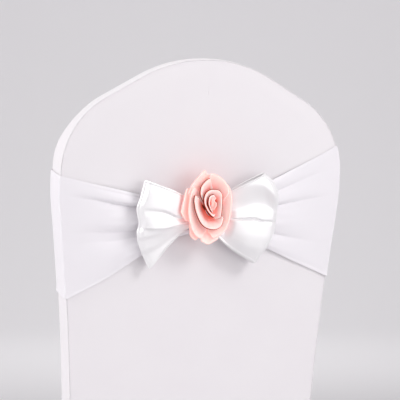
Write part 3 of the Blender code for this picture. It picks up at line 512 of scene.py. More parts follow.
def side_band():
    """One strip from a front foot, over the crown, to the other front foot."""
    half, down, heading = seam_rows(half_width,
                                    np.arange(SHOULDER_DOWN + FIRST_STEP, BACK - 0.003, ROW_STEP))
    low, high = rear(half, down), rear(half, down, depth_at(down))
    out = rear(half + np.sin(heading), down - np.cos(heading)) - low
    keys = np.linspace(0.0, 1.0, SIDE_ROWS)
    along = BACK + np.interp(keys, column(SIDE_PAIRS, 0), column(SIDE_PAIRS, 1))
    low = np.concatenate([low, skirt_edge(keys)])
    high = np.concatenate([high, front(front_half(along), along)])
    out = np.concatenate([out, np.tile([1.0, 0.0, 0.0], (len(keys), 1))])
    out /= np.linalg.norm(out, axis=1)[:, None]
    low_roll = np.concatenate([np.ones(len(half)), 1.0 - ease((keys - ROLL_END) / ROLL_FADE)])
    puff = np.concatenate([np.ones(len(half)), np.maximum(0.0, 1.0 - keys / SEAM_SHARE)])
    run = high - low
    wide = np.linalg.norm(run, axis=1)
    run /= wide[:, None]
    profile = [(OUTSET - 2.0 * BAND_TURN, ALLOWANCE), (OUTSET - 2.0 * BAND_TURN, 2.4 * BAND_TURN)]
    for step in range(11):
        angle = math.radians(180.0 * step / 10)
        profile.append((OUTSET - BAND_TURN - BAND_TURN * math.cos(angle),
                        BAND_TURN - BAND_TURN * math.sin(angle)))
    shares = np.linspace(0.0, 1.0, 26)
    columns = []
    distance = travelled(0.5 * (low + high))
    for o, t in profile:
        columns.append((OUTSET + (o - OUTSET) * low_roll, t * low_roll))
    for share in shares[1:-1]:
        t = BAND_TURN + (wide - 2.0 * BAND_TURN) * share
        columns.append((OUTSET + ROUND * np.sin(np.pi * share) * puff, t))
    for o, t in reversed(profile):
        columns.append((np.full_like(wide, o), wide - t))
    grid, uv = [], []
    for o, t in columns:
        o, t = np.broadcast_to(o, wide.shape), np.broadcast_to(t, wide.shape)
        grid.append(both_halves(low + run * t[:, None] + out * o[:, None], (-1.0, 1.0, 1.0)))
        uv.append(both_halves(uv_grid(distance, -t), (-1.0, 1.0)))
    # Seen from above the crown, the rear seam is nearer, so the rows run from the front seam to it
    made = sheet("side_band_knit", np.array(grid)[::-1], np.array(uv)[::-1], KNIT, COVER_KNIT)
    hand_over(made, "knit", "side_band")


# ---------------------------------------------------------------- foot pockets
POCKET_IN = 0.0007  # how far the cups' faces lie inside the size they are sewn to
POCKET_HEM, POCKET_FLARE = 0.008, 0.02  # depth of the hem round an opening, and how much wider it is
SQUARENESS = 6  # power of the cups' rounded square
POCKET_GIRTH = 1.2  # length round a cup beside that round a circle as wide


def foot_pocket(name, across, inward):
    """A cup of doubled knit that a chair's foot stands in."""
    half = POCKET_WIDE / 2.0 - POCKET_IN
    around = np.linspace(0.0, 2.0 * math.pi, 81)
    square = half / (np.cos(around) ** SQUARENESS + np.sin(around) ** SQUARENESS) ** (1.0 / SQUARENESS)
    high = np.concatenate([np.linspace(POCKET_TALL, 0.003, 30), [0.0014, 0.0004], np.zeros(8)])
    wide = np.concatenate([np.ones(30), [0.97, 0.90], np.linspace(0.80, 0.0, 8)])
    hem = POCKET_TALL - high < POCKET_HEM
    wide = wide + np.where(hem, POCKET_FLARE, 0.0)
    points = np.empty((len(high), len(around), 3))
    points[:, :, 0] = across + wide[:, None] * (square * np.cos(around))
    points[:, :, 1] = inward + wide[:, None] * (square * np.sin(around))
    points[:, :, 2] = (high - FLOOR)[:, None]
    uv = uv_grid(around * half * POCKET_GIRTH, -travelled(points[:, 0])[:, None])
    made = sheet(f"{name}_knit", points, uv, KNIT, COVER_KNIT, closed=True)
    hand_over(made, "foot_pocket", name)


def foot_pockets():
    """Four cups at the floor, one in each corner of the cover, that hold it down."""
    heel = rear(half_width(REAR_FOOT), REAR_FOOT)
    toe = front(front_half(FRONT_FOOT), FRONT_FOOT)
    for end, corner, inward in (("rear", heel, 1.0), ("front", toe, -1.0)):
        for side, sign in (("left", -1.0), ("right", 1.0)):
            foot_pocket(f"foot_pocket_{end}_{side}",
                        sign * (corner[0] - POCKET_CLEAR - POCKET_SIDE - POCKET_WIDE / 2.0),
                        corner[1] + inward * (POCKET_CLEAR + POCKET_LEAN[end] + POCKET_WIDE / 2.0))


# ---------------------------------------------------------------- sash
# Edges of the sash band on the rear panel, as it is drawn in to the bow.
# Columns: place across, top edge and bottom edge below the crown.
SASH_EDGES = ((-0.210, 0.164, 0.337), (-0.145, 0.179, 0.307), (-0.090, 0.191, 0.274),
              (-0.020, 0.206, 0.246), (0.020, 0.205, 0.245), (0.107, 0.168, 0.272),
              (0.145, 0.150, 0.288), (0.210, 0.120, 0.314))
# Ridges and creases across the band. Columns: share of the width from the top edge beside the
# bow and far from it, and height as a share of the fold's depth.
FOLDS_LEFT = ((0.0, 0.0, 0.15), (0.05, 0.04, 0.50), (0.14, 0.11, 1.0), (0.205, 0.155, 0.0),
              (0.43, 0.38, 1.0), (0.555, 0.478, 0.05), (0.66, 0.58, 0.12), (0.82, 0.73, 0.80),
              (1.0, 1.0, 0.08))
FOLDS_RIGHT = ((0.0, 0.0, 0.10), (0.10, 0.09, 0.60), (0.18, 0.15, 0.20), (0.32, 0.30, 0.95),
               (0.385, 0.365, 0.0), (0.61, 0.60, 1.0), (0.77, 0.76, 0.15), (0.90, 0.90, 0.6),
               (1.0, 1.0, 0.05))
FOLD_DEPTH = 0.026
FOLD_NEAR, FOLD_RUN = 0.100, 0.070  # from the middle to where the folds start to spread, and how far
SIDES_BLEND = 0.05  # half the stretch over which the two sides' folds blend
FINE_WAVES, FINE_SWAY = 9.0, 0.3  # fine wrinkles across the band, and how far they wander
FINE_DEPTH = 0.05  # their depth, as a share of the folds'
FOLD_FADE = 1.5  # power by which the folds die out
SASH_LIFT = 0.0040  # how far the gathered middle stands off the panel
SASH_OFF = 0.0021  # from the cover out to the band's outer face
SASH_TURN = 0.0030  # radius of the band's corners
SASH_WIDE = 0.170  # width of the band as its knit's pattern is laid on it
SASH_FAR = 0.205  # where the folds have run out
SASH_FULL = 0.52  # share of the gathering past which the folds grow no deeper
EDGE_IN, EDGE_OUT = 0.0004, 0.0009  # how far the top edge turns in and the bottom edge stands out
TOP_REACH, BOTTOM_REACH = 0.0022, 0.0040  # within what distance each of them does so
SASH_MEAN = 0.13  # width of the band by which those distances are measured


def waves(shares, heights, places):
    """Heights at places: round over each ridge and sharp in each crease."""
    index = np.clip(np.searchsorted(shares, places) - 1, 0, len(shares) - 2)
    step = (places - shares[index]) / (shares[index + 1] - shares[index])
    first, last = heights[index], heights[index + 1]
    from_crease = np.where(first < last, step, 1.0 - step)
    return np.minimum(first, last) + np.abs(last - first) * np.sin(0.5 * np.pi * from_crease) ** 0.75


def sash_fold(across, shares):
    """How far the band stands off the panel by its folds, across its width at one place."""
    away = abs(across)
    far = float(ease((away - FOLD_NEAR) / FOLD_RUN))
    heights = []
    for table in (FOLDS_LEFT, FOLDS_RIGHT):
        near_shares, far_shares, levels = (np.array(column(table, i)) for i in range(3))
        heights.append(waves(near_shares + (far_shares - near_shares) * far, levels, shares))
    side = float(ease((across + SIDES_BLEND) / (2.0 * SIDES_BLEND)))
    fold = (1.0 - side) * heights[0] + side * heights[1]
    reach = max(0.0, 1.0 - away / SASH_FAR)
    fine = FINE_DEPTH * np.sin(2.0 * np.pi * (shares * FINE_WAVES + FINE_SWAY * math.sin(40.0 * across)))
    depth = FOLD_DEPTH * min(reach, SASH_FULL) ** FOLD_FADE
    return SASH_LIFT * float(ease(reach)) + depth * (fold + fine * reach)


def sash_band():
    """A closed band round the back: flat at the front and the sides, folded towards the bow."""
    shares = np.linspace(0.0, 1.0, 121)
    left, right = SASH_EDGES[0], SASH_EDGES[-1]
    turn = SASH_TURN
    columns = []

    def station(top, bottom, place):
        """Adds a line across the band, from its top edge to its bottom edge."""
        columns.append(place(top + (bottom - top) * shares))

    def ends(share):
        """Top and bottom on the way round the front, from the right side to the left."""
        return tuple(right[i] + (left[i] - right[i]) * share for i in (1, 2))

    def width(down):
        """Half the width of the back with the band round it."""
        return half_width(down) + SASH_OFF + OUTSET

    edge_turn = (EDGE_IN * (1.0 - ease(shares * SASH_MEAN / TOP_REACH))
                 - EDGE_OUT * (1.0 - ease((1.0 - shares) * SASH_MEAN / BOTTOM_REACH)))
    for reach in np.linspace(-1.0, 1.0, 241):
        across = reach * right[0]
        top, bottom = (float(smooth(column(SASH_EDGES, 0), column(SASH_EDGES, i), across))
                       for i in (1, 2))
        station(top, bottom, lambda down: rear(reach * (width(down) - turn), down,
                                               edge_turn - SASH_OFF - sash_fold(across, shares)))
    # Round the right corner, across the front and round the left corner
    for sign, start, end in ((1.0, 0.0, 0.08), (-1.0, 0.92, 1.0)):
        way = [("rear", math.radians(a)) for a in (18, 36, 54, 72, 90)]
        way += [("side", d) for d in (0.15, 0.3, 0.5, 0.7, 0.85)]
        way += [("front", math.radians(a)) for a in (90, 72, 54, 36, 18)]
        if sign < 0:
            way.reverse()
        for index, (part, value) in enumerate(way):
            top, bottom = ends(start + (end - start) * (index + 0.5) / len(way))
            if part == "side":
                station(top, bottom, lambda down: rear(
                    sign * (width(down) + ROUND * math.sin(math.pi * value) - edge_turn), down,
                    depth_at(down) * value))
                continue
            inward = turn - SASH_OFF - turn * math.cos(value)
            station(top, bottom, lambda down: rear(
                sign * (width(down) - turn + (turn - edge_turn) * math.sin(value)), down,
                depth_at(down) - inward if part == "front" else inward))
        if sign > 0:
            for step in np.linspace(-1.0, 1.0, 61):
                station(*ends(0.5 + 0.42 * step), lambda down: rear(
                    -step * (width(down) - turn), down,
                    depth_at(down) + SASH_OFF + swell(down, step * 0.98) - edge_turn))
    columns.append(columns[0])
    points = np.array(columns).transpose(1, 0, 2)
    uv = uv_grid(travelled(points[len(shares) // 2]), -SASH_WIDE * shares[:, None])
    made = sheet("sash_knit", points, uv, KNIT, SASH_KNIT, closed=True)
    hand_over(made, "sash", "sash_band")


# ---------------------------------------------------------------- satin bow
# Outer folded edge of each loop. Columns: share of the strip's width, place across, distance below
# the crown.
LOOP_LEFT = ((0.0, -0.092, 0.168), (0.2, -0.098, 0.191), (0.35, -0.103, 0.207), (0.5, -0.099, 0.230),
             (0.62, -0.101, 0.241), (0.78, -0.097, 0.258), (1.0, -0.081, 0.292))
LOOP_RIGHT = ((0.0, 0.080, 0.157), (0.1, 0.091, 0.167), (0.27, 0.101, 0.188), (0.42, 0.102, 0.209),
              (0.55, 0.101, 0.227), (0.67, 0.098, 0.244), (0.8, 0.091, 0.260), (1.0, 0.076, 0.288))
LEFT_UPPER, LEFT_LOWER = 0.8, 1.3  # powers by which the left loop's upper and lower lines fan out
LEFT_TUCK = 0.2  # share of the way over which its lower lines stay level at first
LEFT_SPLIT = 0.45  # share of the width from which its lines start to go over to the lower ones
RIGHT_UPPER, RIGHT_EASE = 0.7, 0.1  # power of the right loop's top line, less this at its lowest one
KNOT_HALF, KNOT_TOP, KNOT_TALL = 0.008, 0.203, 0.030
BOW_BACK = 0.0200  # from the panel out to the back of the knot
BOW_PINCH = 0.0036  # thickness of the knot
FOLD_SIZE = 0.0030  # radius of a loop's outer fold
STRIP_WIDE = 0.130  # width of the satin strip
STRIP_SPREAD = 0.095  # how much wider it is at a loop's fold than at the knot
LOOP_LONG = 0.09  # from the knot to a loop's fold
SATIN_THICK = 0.0005
PLEATS, PLEAT_SHIFT = 5.5, 0.15  # pleats across the knot, and how far the loops' differ
PLEAT_DEPTH, PLEAT_REACH = 0.0010, 0.42  # their depth, and the share of a loop that they run into
HEM_ROLL, HEM_IN, HEM_HALF = 0.0009, 0.0009, 0.0008  # height, place and half width of a hem
RIM_ROLL, RIM_IN, RIM_HALF = 0.0005, 0.0012, 0.0012  # and of the crease beside a loop's fold
# A loop's ridges and creases, from its top hem to its bottom hem. Each is traced at five places on
# the way from the knot to the outer fold: shares of the strip's width, then heights above the
# panel in millimetres.
TRACES = (0.35, 0.62, 0.79, 0.94, 1.0)
NEAR_KNOT, NEAR_HEIGHT = 0.20, 0.0250  # where the loops start to swell, and their height there
FORMS_LEFT = (
    ((0.0, 0.0, 0.0, 0.0, 0.0), (26, 29, 29, 28, 24)),
    ((0.12, 0.12, 0.12, 0.12, 0.12), (28.5, 32, 32.5, 31.5, 25)),
    ((0.43, 0.335, 0.32, 0.32, 0.32), (30, 34.2, 34, 32.3, 27.5)),
    ((0.46, 0.375, 0.36, 0.36, 0.34), (27.5, 30.8, 32.6, 32.0, 27.2)),
    ((0.52, 0.44, 0.43, 0.42, 0.42), (28.5, 33.5, 34, 33, 28.5)),
    ((0.61, 0.60, 0.565, 0.53, 0.50), (30, 35.5, 35.5, 33.5, 26.5)),
    ((0.66, 0.645, 0.60, 0.56, 0.53), (26.5, 31, 31.5, 30.5, 25)),
    ((0.72, 0.74, 0.70, 0.67, 0.66), (25.5, 28, 30, 30.5, 26)),
    ((0.76, 0.79, 0.765, 0.75, 0.745), (25, 26.6, 26.2, 25.3, 22.3)),
    ((0.84, 0.86, 0.86, 0.84, 0.84), (24, 24.5, 24.5, 24.3, 21.5)),
    ((0.93, 0.94, 0.93, 0.90, 0.89), (22.5, 21.5, 21.3, 20.5, 18.5)),
    ((1.0, 1.0, 1.0, 1.0, 1.0), (22, 21.5, 22.5, 23, 20.5)),
)
FORMS_RIGHT = (
    ((0.0, 0.0, 0.0, 0.0, 0.0), (28, 33.5, 33.8, 32.0, 26)),
    ((0.12, 0.05, 0.09, 0.25, 0.29), (29, 34, 35, 35.8, 30)),
    ((0.36, 0.325, 0.355, 0.42, 0.45), (27.5, 28, 28, 28, 25)),
    ((0.43, 0.41, 0.44, 0.475, 0.49), (30, 31, 31, 30.5, 26)),
    ((0.515, 0.50, 0.53, 0.53, 0.535), (31, 32.5, 32.5, 31, 26)),
    ((0.53, 0.516, 0.546, 0.546, 0.55), (28.5, 29, 29, 28, 25)),
    ((0.57, 0.555, 0.58, 0.60, 0.60), (32, 33.5, 33, 31, 26.5)),
    ((0.74, 0.74, 0.74, 0.74, 0.74), (32.5, 36, 35.5, 34, 28)),
    ((0.83, 0.85, 0.85, 0.84, 0.82), (31.3, 35.2, 34.8, 33.2, 27.3)),
    ((1.0, 1.0, 1.0, 1.0, 1.0), (24, 24, 24.5, 24, 20)),
)


def loop_height(forms, reaches, shares):
    """Height of a loop's front on a grid of reaches (columns) and shares of the width (rows)."""
    places = (0.0, NEAR_KNOT) + TRACES
    lines, levels = [], []
    for traced, heights in forms:
        heights = (BOW_BACK + BOW_PINCH, NEAR_HEIGHT) + tuple(np.array(heights) / 1000.0)
        lines.append(steady(places, (traced[0], traced[0]) + traced, reaches))
        levels.append(steady(places, heights, reaches))
    lines, levels = np.array(lines), np.array(levels)
    return np.stack([steady(lines[:, i], levels[:, i], shares) for i in range(len(reaches))], axis=1)


def loop_place(sign, reach, share):
    """Place on the panel, across and down, of a loop's point."""
    table = LOOP_LEFT if sign < 0 else LOOP_RIGHT
    edge_across = smooth(column(table, 0), column(table, 1), share)
    edge_down = smooth(column(table, 0), column(table, 2), share)
    across = sign * KNOT_HALF + (edge_across - sign * KNOT_HALF) * reach
    knot_down = KNOT_TOP + KNOT_TALL * share
    if sign < 0:
        upper = reach ** LEFT_UPPER
        lower = np.clip((reach - LEFT_TUCK) / (1.0 - LEFT_TUCK), 0.0, 1.0) ** LEFT_LOWER
        pull = upper + (lower - upper) * ease((share - LEFT_SPLIT) / (1.0 - LEFT_SPLIT))
    else:
        pull = reach ** (RIGHT_UPPER - RIGHT_EASE * share)
    return across, knot_down + (edge_down - knot_down) * pull


def satin_bow():
    """One strip of satin, folded into two loops and pinched into pleats at its middle."""
    shares = np.linspace(0.0, 1.0, 121)
    share = shares[:, None]
    layers = {}
    for sign, forms in ((-1.0, FORMS_LEFT), (1.0, FORMS_RIGHT)):
        reach = np.concatenate([np.linspace(0.0, 0.94, 72), np.linspace(0.95, 1.0, 9)])[None, :]
        across, down = loop_place(sign, reach, share)
        high = loop_height(forms, reach[0], shares)
        width = KNOT_TALL + STRIP_SPREAD * reach
        pleat = np.maximum(0.0, 1.0 - reach / PLEAT_REACH) ** 1.5
        high = high + PLEAT_DEPTH * pleat * np.cos(2.0 * np.pi * (PLEATS * share + PLEAT_SHIFT * sign))
        hem = np.minimum(share, 1.0 - share) * width
        high = high + HEM_ROLL * np.exp(-((hem - HEM_IN) / HEM_HALF) ** 2)
        rim = (1.0 - reach) * LOOP_LONG
        high = high + RIM_ROLL * np.exp(-((rim - RIM_IN) / RIM_HALF) ** 2) * ease(reach * 4.0 - 3.0)
        face = rear(across, down, -high)
        turn = np.linspace(0.0, math.pi, 9)[None, 1:-1]
        edge_across, edge_down = loop_place(sign, np.ones_like(turn), share)
        edge_high = high[:, -1:]
        fold = rear(edge_across + sign * FOLD_SIZE * np.sin(turn), edge_down,
                    -(edge_high - FOLD_SIZE + FOLD_SIZE * np.cos(turn)))
        # The rear of the loop runs back level with its fold, then drops to the knot
        reach = np.linspace(1.0, 0.0, 40)[None, :]
        across, down = loop_place(sign, reach, share)
        low = BOW_BACK + (edge_high - 2.0 * FOLD_SIZE - BOW_BACK) * ease(reach * 1.3)
        layers[sign] = [face, fold, rear(across, down + 0.002 * reach * share, -low)]
    left, right = layers[-1.0], layers[1.0]
    ring = [left[2][:, ::-1], left[1][:, ::-1], left[0][:, ::-1], right[0], right[1], right[2]]
    points = np.concatenate(ring, axis=1)
    points = np.concatenate([points, points[:, :1]], axis=1)
    uv = uv_grid(travelled(points[len(shares) // 2]), -STRIP_WIDE * share)
    made = sheet("bow_satin", points, uv, SATIN_THICK, SATIN, closed=True)
    hand_over(made, "satin", "satin_bow")


# ---------------------------------------------------------------- foam rose
ROSE_FOOT, ROSE_TIP = 0.028, 0.0501  # heights off the panel of its foot and its tip
FOOT_MIDDLE, TIP_MIDDLE = (-0.0017, 0.2117), (-0.0029, 0.2001)  # across and down, at those heights
FOOT_SHARE = 0.30  # how wide the petals stand at the foot, as a share of that at the tip
FLARE = 1.6  # power by which they open from the one to the other
FOAM_THICK = 0.0008
CURL_TURN = 105.0  # degrees that a rim rolls on beyond its crest
CURL_END = 0.45  # radius of a rim at its ends, beside that in its middle
END_REACH = 0.007  # how far from its ends a rim narrows and falls
LIP = 1.4  # how much wider than high a rim rolls outwards
RIM_LIT = 0.93  # share of painted light on the rims, where it is greatest
INNER_RIM_SHADE, OUTER_RIM_SHADE = 0.98, 0.35  # how far painted shade darkens the foam under the inner rims and the outer
OUTER_SHADE_DEPTH = 0.050  # least depth of painted shade that makes a petal an outer one
RIM_SHADE_FROM, RIM_SHADE_OVER = 0.42, 0.18  # share of the roll from which the painted shade starts, and within what
PETAL_LEAST, RIM_STEP = 24, 0.0008  # least number of lines up a petal, and their spacing
WALL_ROWS, CURL_ROWS = 18, 17  # rows up a petal's wall and round its rim
FOOT_ROWS = (0.55, 0.64, 0.73, 0.82, 0.91)  # rows across its foot, as shares of its width
SLOPE_STEP = 0.0001  # by which the slope of the wall is measured
WALL_LEAST = 0.0012  # least height of a wall at a petal's ends
# One row for each petal: its name, how deep below the rim its painted shade is darkest, the radius of
# its rolled rim, how far its two ends fall below the rim, the height of its foot, then points on the
# crest of the rim: across, down and height off the panel. All in millimetres.
PETALS = (
    ("bud", 55, 0.5, 3.0, 44.6, ((-2.1, 204.9, 48.1), (-3.3, 199.8, 48.8), (-4.0, 194.1, 49.5),
        (-3.5, 189.2, 50.1), (-1.7, 189.6, 50.1), (-1.2, 194.0, 50.1), (-1.1, 199.0, 49.5))),
    ("inner_1", 20, 1.4, 3.0, 42.2, ((3.7, 185.9, 48.8), (-2.5, 185.1, 49.5), (-7.1, 187.3, 49.5),
        (-8.6, 192.9, 49.5), (-7.7, 199.7, 49.5), (-4.5, 205.9, 48.8), (0.1, 210.1, 48.1))),
    ("inner_2", 26, 0.8, 3.0, 43.4, ((1.5, 190.2, 49.1), (2.7, 194.7, 49.1), (2.7, 200.7, 49.1),
        (1.2, 205.5, 48.6))),
    ("inner_3", 16, 1.7, 5.0, 39.5, ((6.0, 213.2, 46.9), (0.3, 214.8, 47.5), (-5.6, 210.6, 48.1),
        (-10.6, 204.0, 48.8), (-13.7, 197.2, 48.8), (-14.4, 190.3, 48.8), (-12.6, 183.7, 48.8),
        (-8.4, 179.6, 48.8), (-1.9, 178.5, 48.8), (4.9, 179.6, 48.8), (9.2, 183.9, 48.1),
        (10.4, 192.3, 48.1), (10.6, 201.6, 47.5), (10.2, 210.2, 46.9), (9.3, 217.4, 46.2),
        (6.5, 221.7, 45.6))),
    ("middle_1", 24, 1.8, 7.0, 34.55, ((-24.2, 180.1, 46.2), (-26.6, 185.4, 46.2),
        (-27.5, 191.6, 46.2), (-26.7, 198.6, 46.2), (-24.6, 207.1, 46.2), (-21.1, 215.6, 46.2),
        (-16.6, 223.3, 46.2), (-10.4, 229.0, 46.2), (-2.9, 231.7, 46.2), (4.5, 231.8, 46.2),
        (10.5, 228.9, 45.6), (13.8, 221.2, 45), (14.8, 210.6, 44.4))),
    ("middle_2", 24, 1.6, 5.0, 35.7, ((-0.2, 162.0, 43.6), (-7.9, 163.8, 44.9), (-14.3, 168.7, 45.6),
        (-18.3, 174.2, 46.2), (-19.4, 179.7, 46.2), (-19.0, 185.3, 46.2), (-17.0, 190.7, 46.2))),
    ("middle_3", 50, 1.2, 5.0, 34.55, ((-11.2, 158.7, 41), (-2.7, 156.9, 41.7), (7.6, 160.7, 42.3),
        (16.7, 169.1, 43), (21.4, 179.0, 43), (22.6, 188.9, 43))),
    ("outer_1", 70, 1.3, 5.0, 33.4, ((16.1, 166.6, 39.7), (24.2, 178.2, 40.4), (26.9, 189.8, 41),
        (27, 201.4, 41.6), (26, 213.4, 41.6), (23.9, 225.4, 41), (19.7, 235.9, 40.4),
        (11.6, 242.3, 39.7), (3.6, 246.3, 39.7), (-3.1, 248.3, 39))),
    ("outer_2", 70, 1.2, 5.0, 32.25, ((16.2, 244.6, 37.8), (4.3, 251.7, 38.4), (-3.2, 255.2, 38.4),
        (-9.7, 252.2, 38.4), (-19, 249.1, 37.1))),
    ("outer_3", 70, 1.3, 5.0, 33.4, ((-8, 246.8, 39.7), (-17.9, 244.9, 40.4), (-26.3, 236.4, 41),
        (-31.2, 224, 41.6), (-33.7, 212.9, 41.6), (-33.7, 199.4, 41.6), (-32.7, 187.8, 41.6),
        (-29.7, 178.8, 41.6), (-24.1, 170.3, 41.6))),
    ("outer_4", 70, 1.2, 5.0, 29.95, ((-36.4, 190.5, 37.8), (-31.2, 174.6, 39), (-25, 165.1, 39.7),
        (-18, 157.6, 39.7), (-15.0, 154.2, 39.3), (-13.1, 152.5, 39), (-10.6, 153.0, 38.8),
        (-6.2, 155, 38.4))),
    ("base_1", 70, 1.0, 4.0, 28.8, ((-31.4, 172.3, 35.1), (-36.9, 179.8, 35.1), (-40.3, 193.4, 35.8),
        (-43.0, 205.6, 35.8), (-43.8, 209.4, 35.8), (-42.0, 213.0, 35.6), (-38.9, 218.3, 35.1),
        (-33, 226.8, 34.5))),
    ("base_2", 70, 1.0, 4.0, 29.95, ((-31.4, 223.8, 35.1), (-29.4, 234.3, 35.1), (-27.9, 243.9, 35.1),
        (-22.9, 248.9, 35.1), (-14.5, 251.3, 34.5))),
    ("base_3", 70, 1.0, 4.0, 31.1, ((24.2, 227.8, 35.1), (18.1, 240.3, 34.5), (8.4, 248.7, 33.9),
        (-3.6, 250.7, 33.9), (-14.1, 246.2, 33.9))),
    ("base_4", 70, 1.0, 4.0, 28.8, ((16.7, 175.3, 35.1), (21.8, 184.8, 35.8), (23.8, 199.4, 35.8),
        (22.8, 212.4, 35.8), (21.7, 223.8, 35.1))),
    ("base_5", 70, 1.0, 4.0, 28.8, ((-26, 170.7, 34.5), (-19, 163.2, 34.5), (-9.5, 158.7, 34.5),
        (2, 161.7, 34.5), (13, 168.2, 34.5))),
)


def rose_middle(high):
    """Middle of the rose, across and down, at a height off the panel."""
    step = ((np.asarray(high) - ROSE_FOOT) / (ROSE_TIP - ROSE_FOOT))[..., None]
    return np.array(FOOT_MIDDLE) + (np.array(TIP_MIDDLE) - np.array(FOOT_MIDDLE)) * step


def rose_share(high):
    """How wide the nested petals stand at a height, as a share of their width at the tip."""
    step = np.clip((np.asarray(high) - ROSE_FOOT) / (ROSE_TIP - ROSE_FOOT), 0.0, None)
    return (FOOT_SHARE + (1.0 - FOOT_SHARE) * step ** FLARE)[..., None]


def paint_shade_outside(made, faces, fold):
    """Paints shade on a petal's outer side, which comes second in its mesh, after its inner side."""
    layer = made.data.uv_layers[0].data
    flat = np.zeros(2 * len(layer), dtype=np.float32)
    layer.foreach_get("uv", flat)
    flat.reshape(-1, 2)[4 * faces:8 * faces, 1] *= 1.0 - fold
    layer.foreach_set("uv", flat)


def petal(name, shade_depth, curl, fall, foot, crest):
    """One petal: a wall that rises and flares from its foot, and a rim rolled outwards."""
    shade_depth, curl, fall, foot = (size / 1000.0 for size in (shade_depth, curl, fall, foot))
    crest = np.array(crest, float) / 1000.0
    reach = travelled(crest[:, :2])
    length = reach[-1]
    along = np.linspace(0.0, length, max(PETAL_LEAST, int(length / RIM_STEP)))
    rim = smooth(reach, crest, along)
    ends = ease(np.minimum(along, length - along) / END_REACH)
    radius = curl * (CURL_END + (1.0 - CURL_END) * ends)
    tangent = np.gradient(rim[:, :2], axis=0)
    tangent /= np.linalg.norm(tangent, axis=1)[:, None]
    outward = np.stack([tangent[:, 1], -tangent[:, 0]], axis=1)
    side = np.sign(np.sum(outward * (rim[:, :2] - rose_middle(rim[:, 2]))))
    outward *= side
    high = rim[:, 2] - radius
    wide = (rim[:, :2] - outward * radius[:, None] - rose_middle(high)) / rose_share(high)
    above, below = (rose_middle(high + rise) + wide * rose_share(high + rise)
                    for rise in (SLOPE_STEP, -SLOPE_STEP))
    slope = np.arctan(np.maximum(np.sum((above - below) * outward, axis=1) / (2.0 * SLOPE_STEP), 0.0))
    top = rim[:, :2] - outward * (radius * np.cos(slope))[:, None]
    high = rim[:, 2] - radius + radius * np.sin(slope)
    wide = (top - rose_middle(high)) / rose_share(high)
    drop = np.minimum(fall * (1.0 - ends), high - foot - WALL_LEAST)
    moved = rose_middle(high - drop) + wide * rose_share(high - drop) - top
    middle = rim[:, :2] + moved
    high = high - drop
    rows = []
    for inner in FOOT_ROWS:
        level = np.full_like(high, foot)
        place = rose_middle(level) + wide * rose_share(level) * inner
        rows.append(np.concatenate([place, level[:, None]], axis=1))
    for step in range(WALL_ROWS):
        level = foot + (high - foot) * (step / WALL_ROWS) ** 0.8
        place = rose_middle(level) + wide * rose_share(level)
        rows.append(np.concatenate([place, level[:, None]], axis=1))
    start = slope - math.pi / 2.0
    for step in range(CURL_ROWS):
        turn = start + (math.radians(CURL_TURN) - start) * step / (CURL_ROWS - 1)
        place = middle + outward * (radius * np.where(turn > 0.0, LIP, 1.0) * np.sin(turn))[:, None]
        level = rim[:, 2] - drop - radius + radius * np.cos(turn)
        rows.append(np.concatenate([place, level[:, None]], axis=1))
    grid = np.array(rows)
    if side > 0:
        grid = grid[:, ::-1]
    wall_top = len(FOOT_ROWS) + WALL_ROWS
    # Painted shade: the deeper down its wall from the rim, the darker the foam is drawn; pale is its share
    # of painted light
    depths = np.cumsum(np.linalg.norm(np.diff(grid, axis=0), axis=2), axis=0)
    depths = depths[wall_top - 1] - np.concatenate([np.zeros((1, grid.shape[1])), depths])
    pale = 1.0 - np.maximum(depths, 0.0) / shade_depth
    rolled = (np.arange(len(grid)) - wall_top) / (CURL_ROWS - 1.0)
    # Painted shade under the rolled rim: strong for the inner petals, soft for the outer ones
    fold = INNER_RIM_SHADE if shade_depth < OUTER_SHADE_DEPTH else OUTER_RIM_SHADE
    pale = np.minimum(pale, 1.0 - fold * ease((rolled - RIM_SHADE_FROM) / RIM_SHADE_OVER)[:, None])
    # Painted light: the rims reach this far up the ramp
    pale = RIM_LIT * np.clip(pale, 0.0, 1.0)
    uv = uv_grid(along, pale)
    points = rear(grid[..., 0], grid[..., 1], -grid[..., 2])
    made = sheet(f"rose_{name}_foam", points, uv, FOAM_THICK, FOAM)
    # Painted shade on the petal's outer side, in the crevices that it faces
    paint_shade_outside(made, (grid.shape[0] - 1) * (grid.shape[1] - 1), fold)
    hand_over(made, "foam", f"rose_{name}")


rear_panel()
front_panel()
side_band()
foot_pockets()
sash_band()
satin_bow()
for row in PETALS:
    petal(*row)


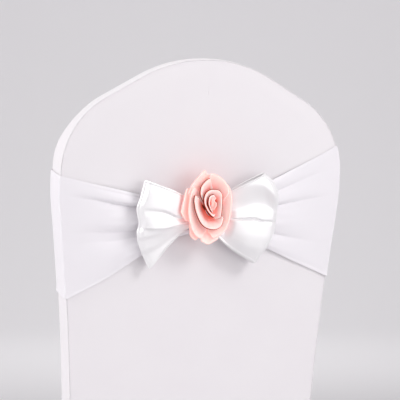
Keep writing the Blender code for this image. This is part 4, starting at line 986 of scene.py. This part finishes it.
# ---------------------------------------------------------------- floor, lights and camera
def stage_bowl():
    """A pale floor that curves up all round into a plain backdrop, lit through its open top."""
    flat, bend = 5.0, 2.5
    profile = [(distance, 0.0) for distance in (0.0, 1.0, 2.0, 3.5, flat)]
    for step in range(1, 17):
        angle = math.radians(90.0 * step / 16)
        profile.append((flat + bend * math.sin(angle), bend - bend * math.cos(angle)))
    profile += [(flat + bend, 3.0)]
    turns = 96
    around = [2.0 * math.pi * i / turns for i in range(turns + 1)]
    grid = [[(r * math.cos(angle), r * math.sin(angle), -FLOOR + h) for angle in around]
            for r, h in profile]
    bowl = shaped_grid("studio_floor", np.array(grid))
    weld(bowl, 1e-5, turn_faces=True)
    bowl.data.shade_smooth()
    # Backdrop paper, uncoated: so matt that it shows no highlight
    paper = start_material("matt_backdrop_paper", {
        "Base Color": hue("#EEEDEF"), "Roughness": 0.95, "Specular IOR Level": 0.1})[0]
    bowl.data.materials.append(paper)


def softbox(name, place, aim, size, watts, spread=180.0):
    """A studio softbox that faces a point, and isn't seen itself."""
    light = bpy.data.lights.new(name, "AREA")
    light.shape = "RECTANGLE"
    light.size, light.size_y = size
    light.energy = watts
    light.spread = math.radians(spread)
    box = bpy.data.objects.new(name, light)
    bpy.context.scene.collection.objects.link(box)
    box.location = place
    to = np.array(aim) - np.array(place)
    box.rotation_euler = (math.atan2(math.hypot(to[0], to[1]), -to[2]), 0.0, math.atan2(-to[0], to[1]))
    box.visible_camera = False


def lights():
    """Even room light and five softboxes."""
    world = bpy.data.worlds.new("soft_room")
    bpy.context.scene.world = world
    world.use_nodes = True
    ground = world.node_tree.nodes["Background"]
    ground.inputs["Color"].default_value = hue("#F7F4F6")
    ground.inputs["Strength"].default_value = 0.55
    softbox("front_reflector", (0.95, -2.3, -0.15), (0.0, 0.0, -0.2), (1.7, 1.3), 13.5)
    softbox("key_high_right", (1.4, -1.9, 1.4), (0.0, 0.0, -0.05), (1.0, 1.0), 2.3, 45.0)
    softbox("strip_light_left", (-2.2, -0.1, 0.8), (0.0, 0.0, -0.2), (0.9, 1.2), 31.0)
    softbox("front_of_chair", (0.5, 2.6, 1.0), (0.0, 0.2, -0.4), (1.8, 1.8), 5.0)
    softbox("backdrop_wash", (0.9, 2.9, 1.25), (2.3, 7.4, 0.2), (2.5, 0.8), 46.0)


def camera():
    """Level with the upper part of the back, 19 degrees to the left of square on, long lens."""
    view = bpy.data.cameras.new("studio_camera")
    view.sensor_width = 36.0
    view.lens = 121.73
    view.clip_start, view.clip_end = 0.05, 60.0
    eye = bpy.data.objects.new("studio_camera", view)
    bpy.context.scene.collection.objects.link(eye)
    eye.location = (-0.6328, -1.8212, -0.1580)
    eye.rotation_euler = (math.radians(90.0 - 1.266), 0.0, math.radians(-19.0))
    bpy.context.scene.camera = eye
    bpy.context.scene.view_settings.view_transform = "Standard"


stage_bowl()
lights()
camera()
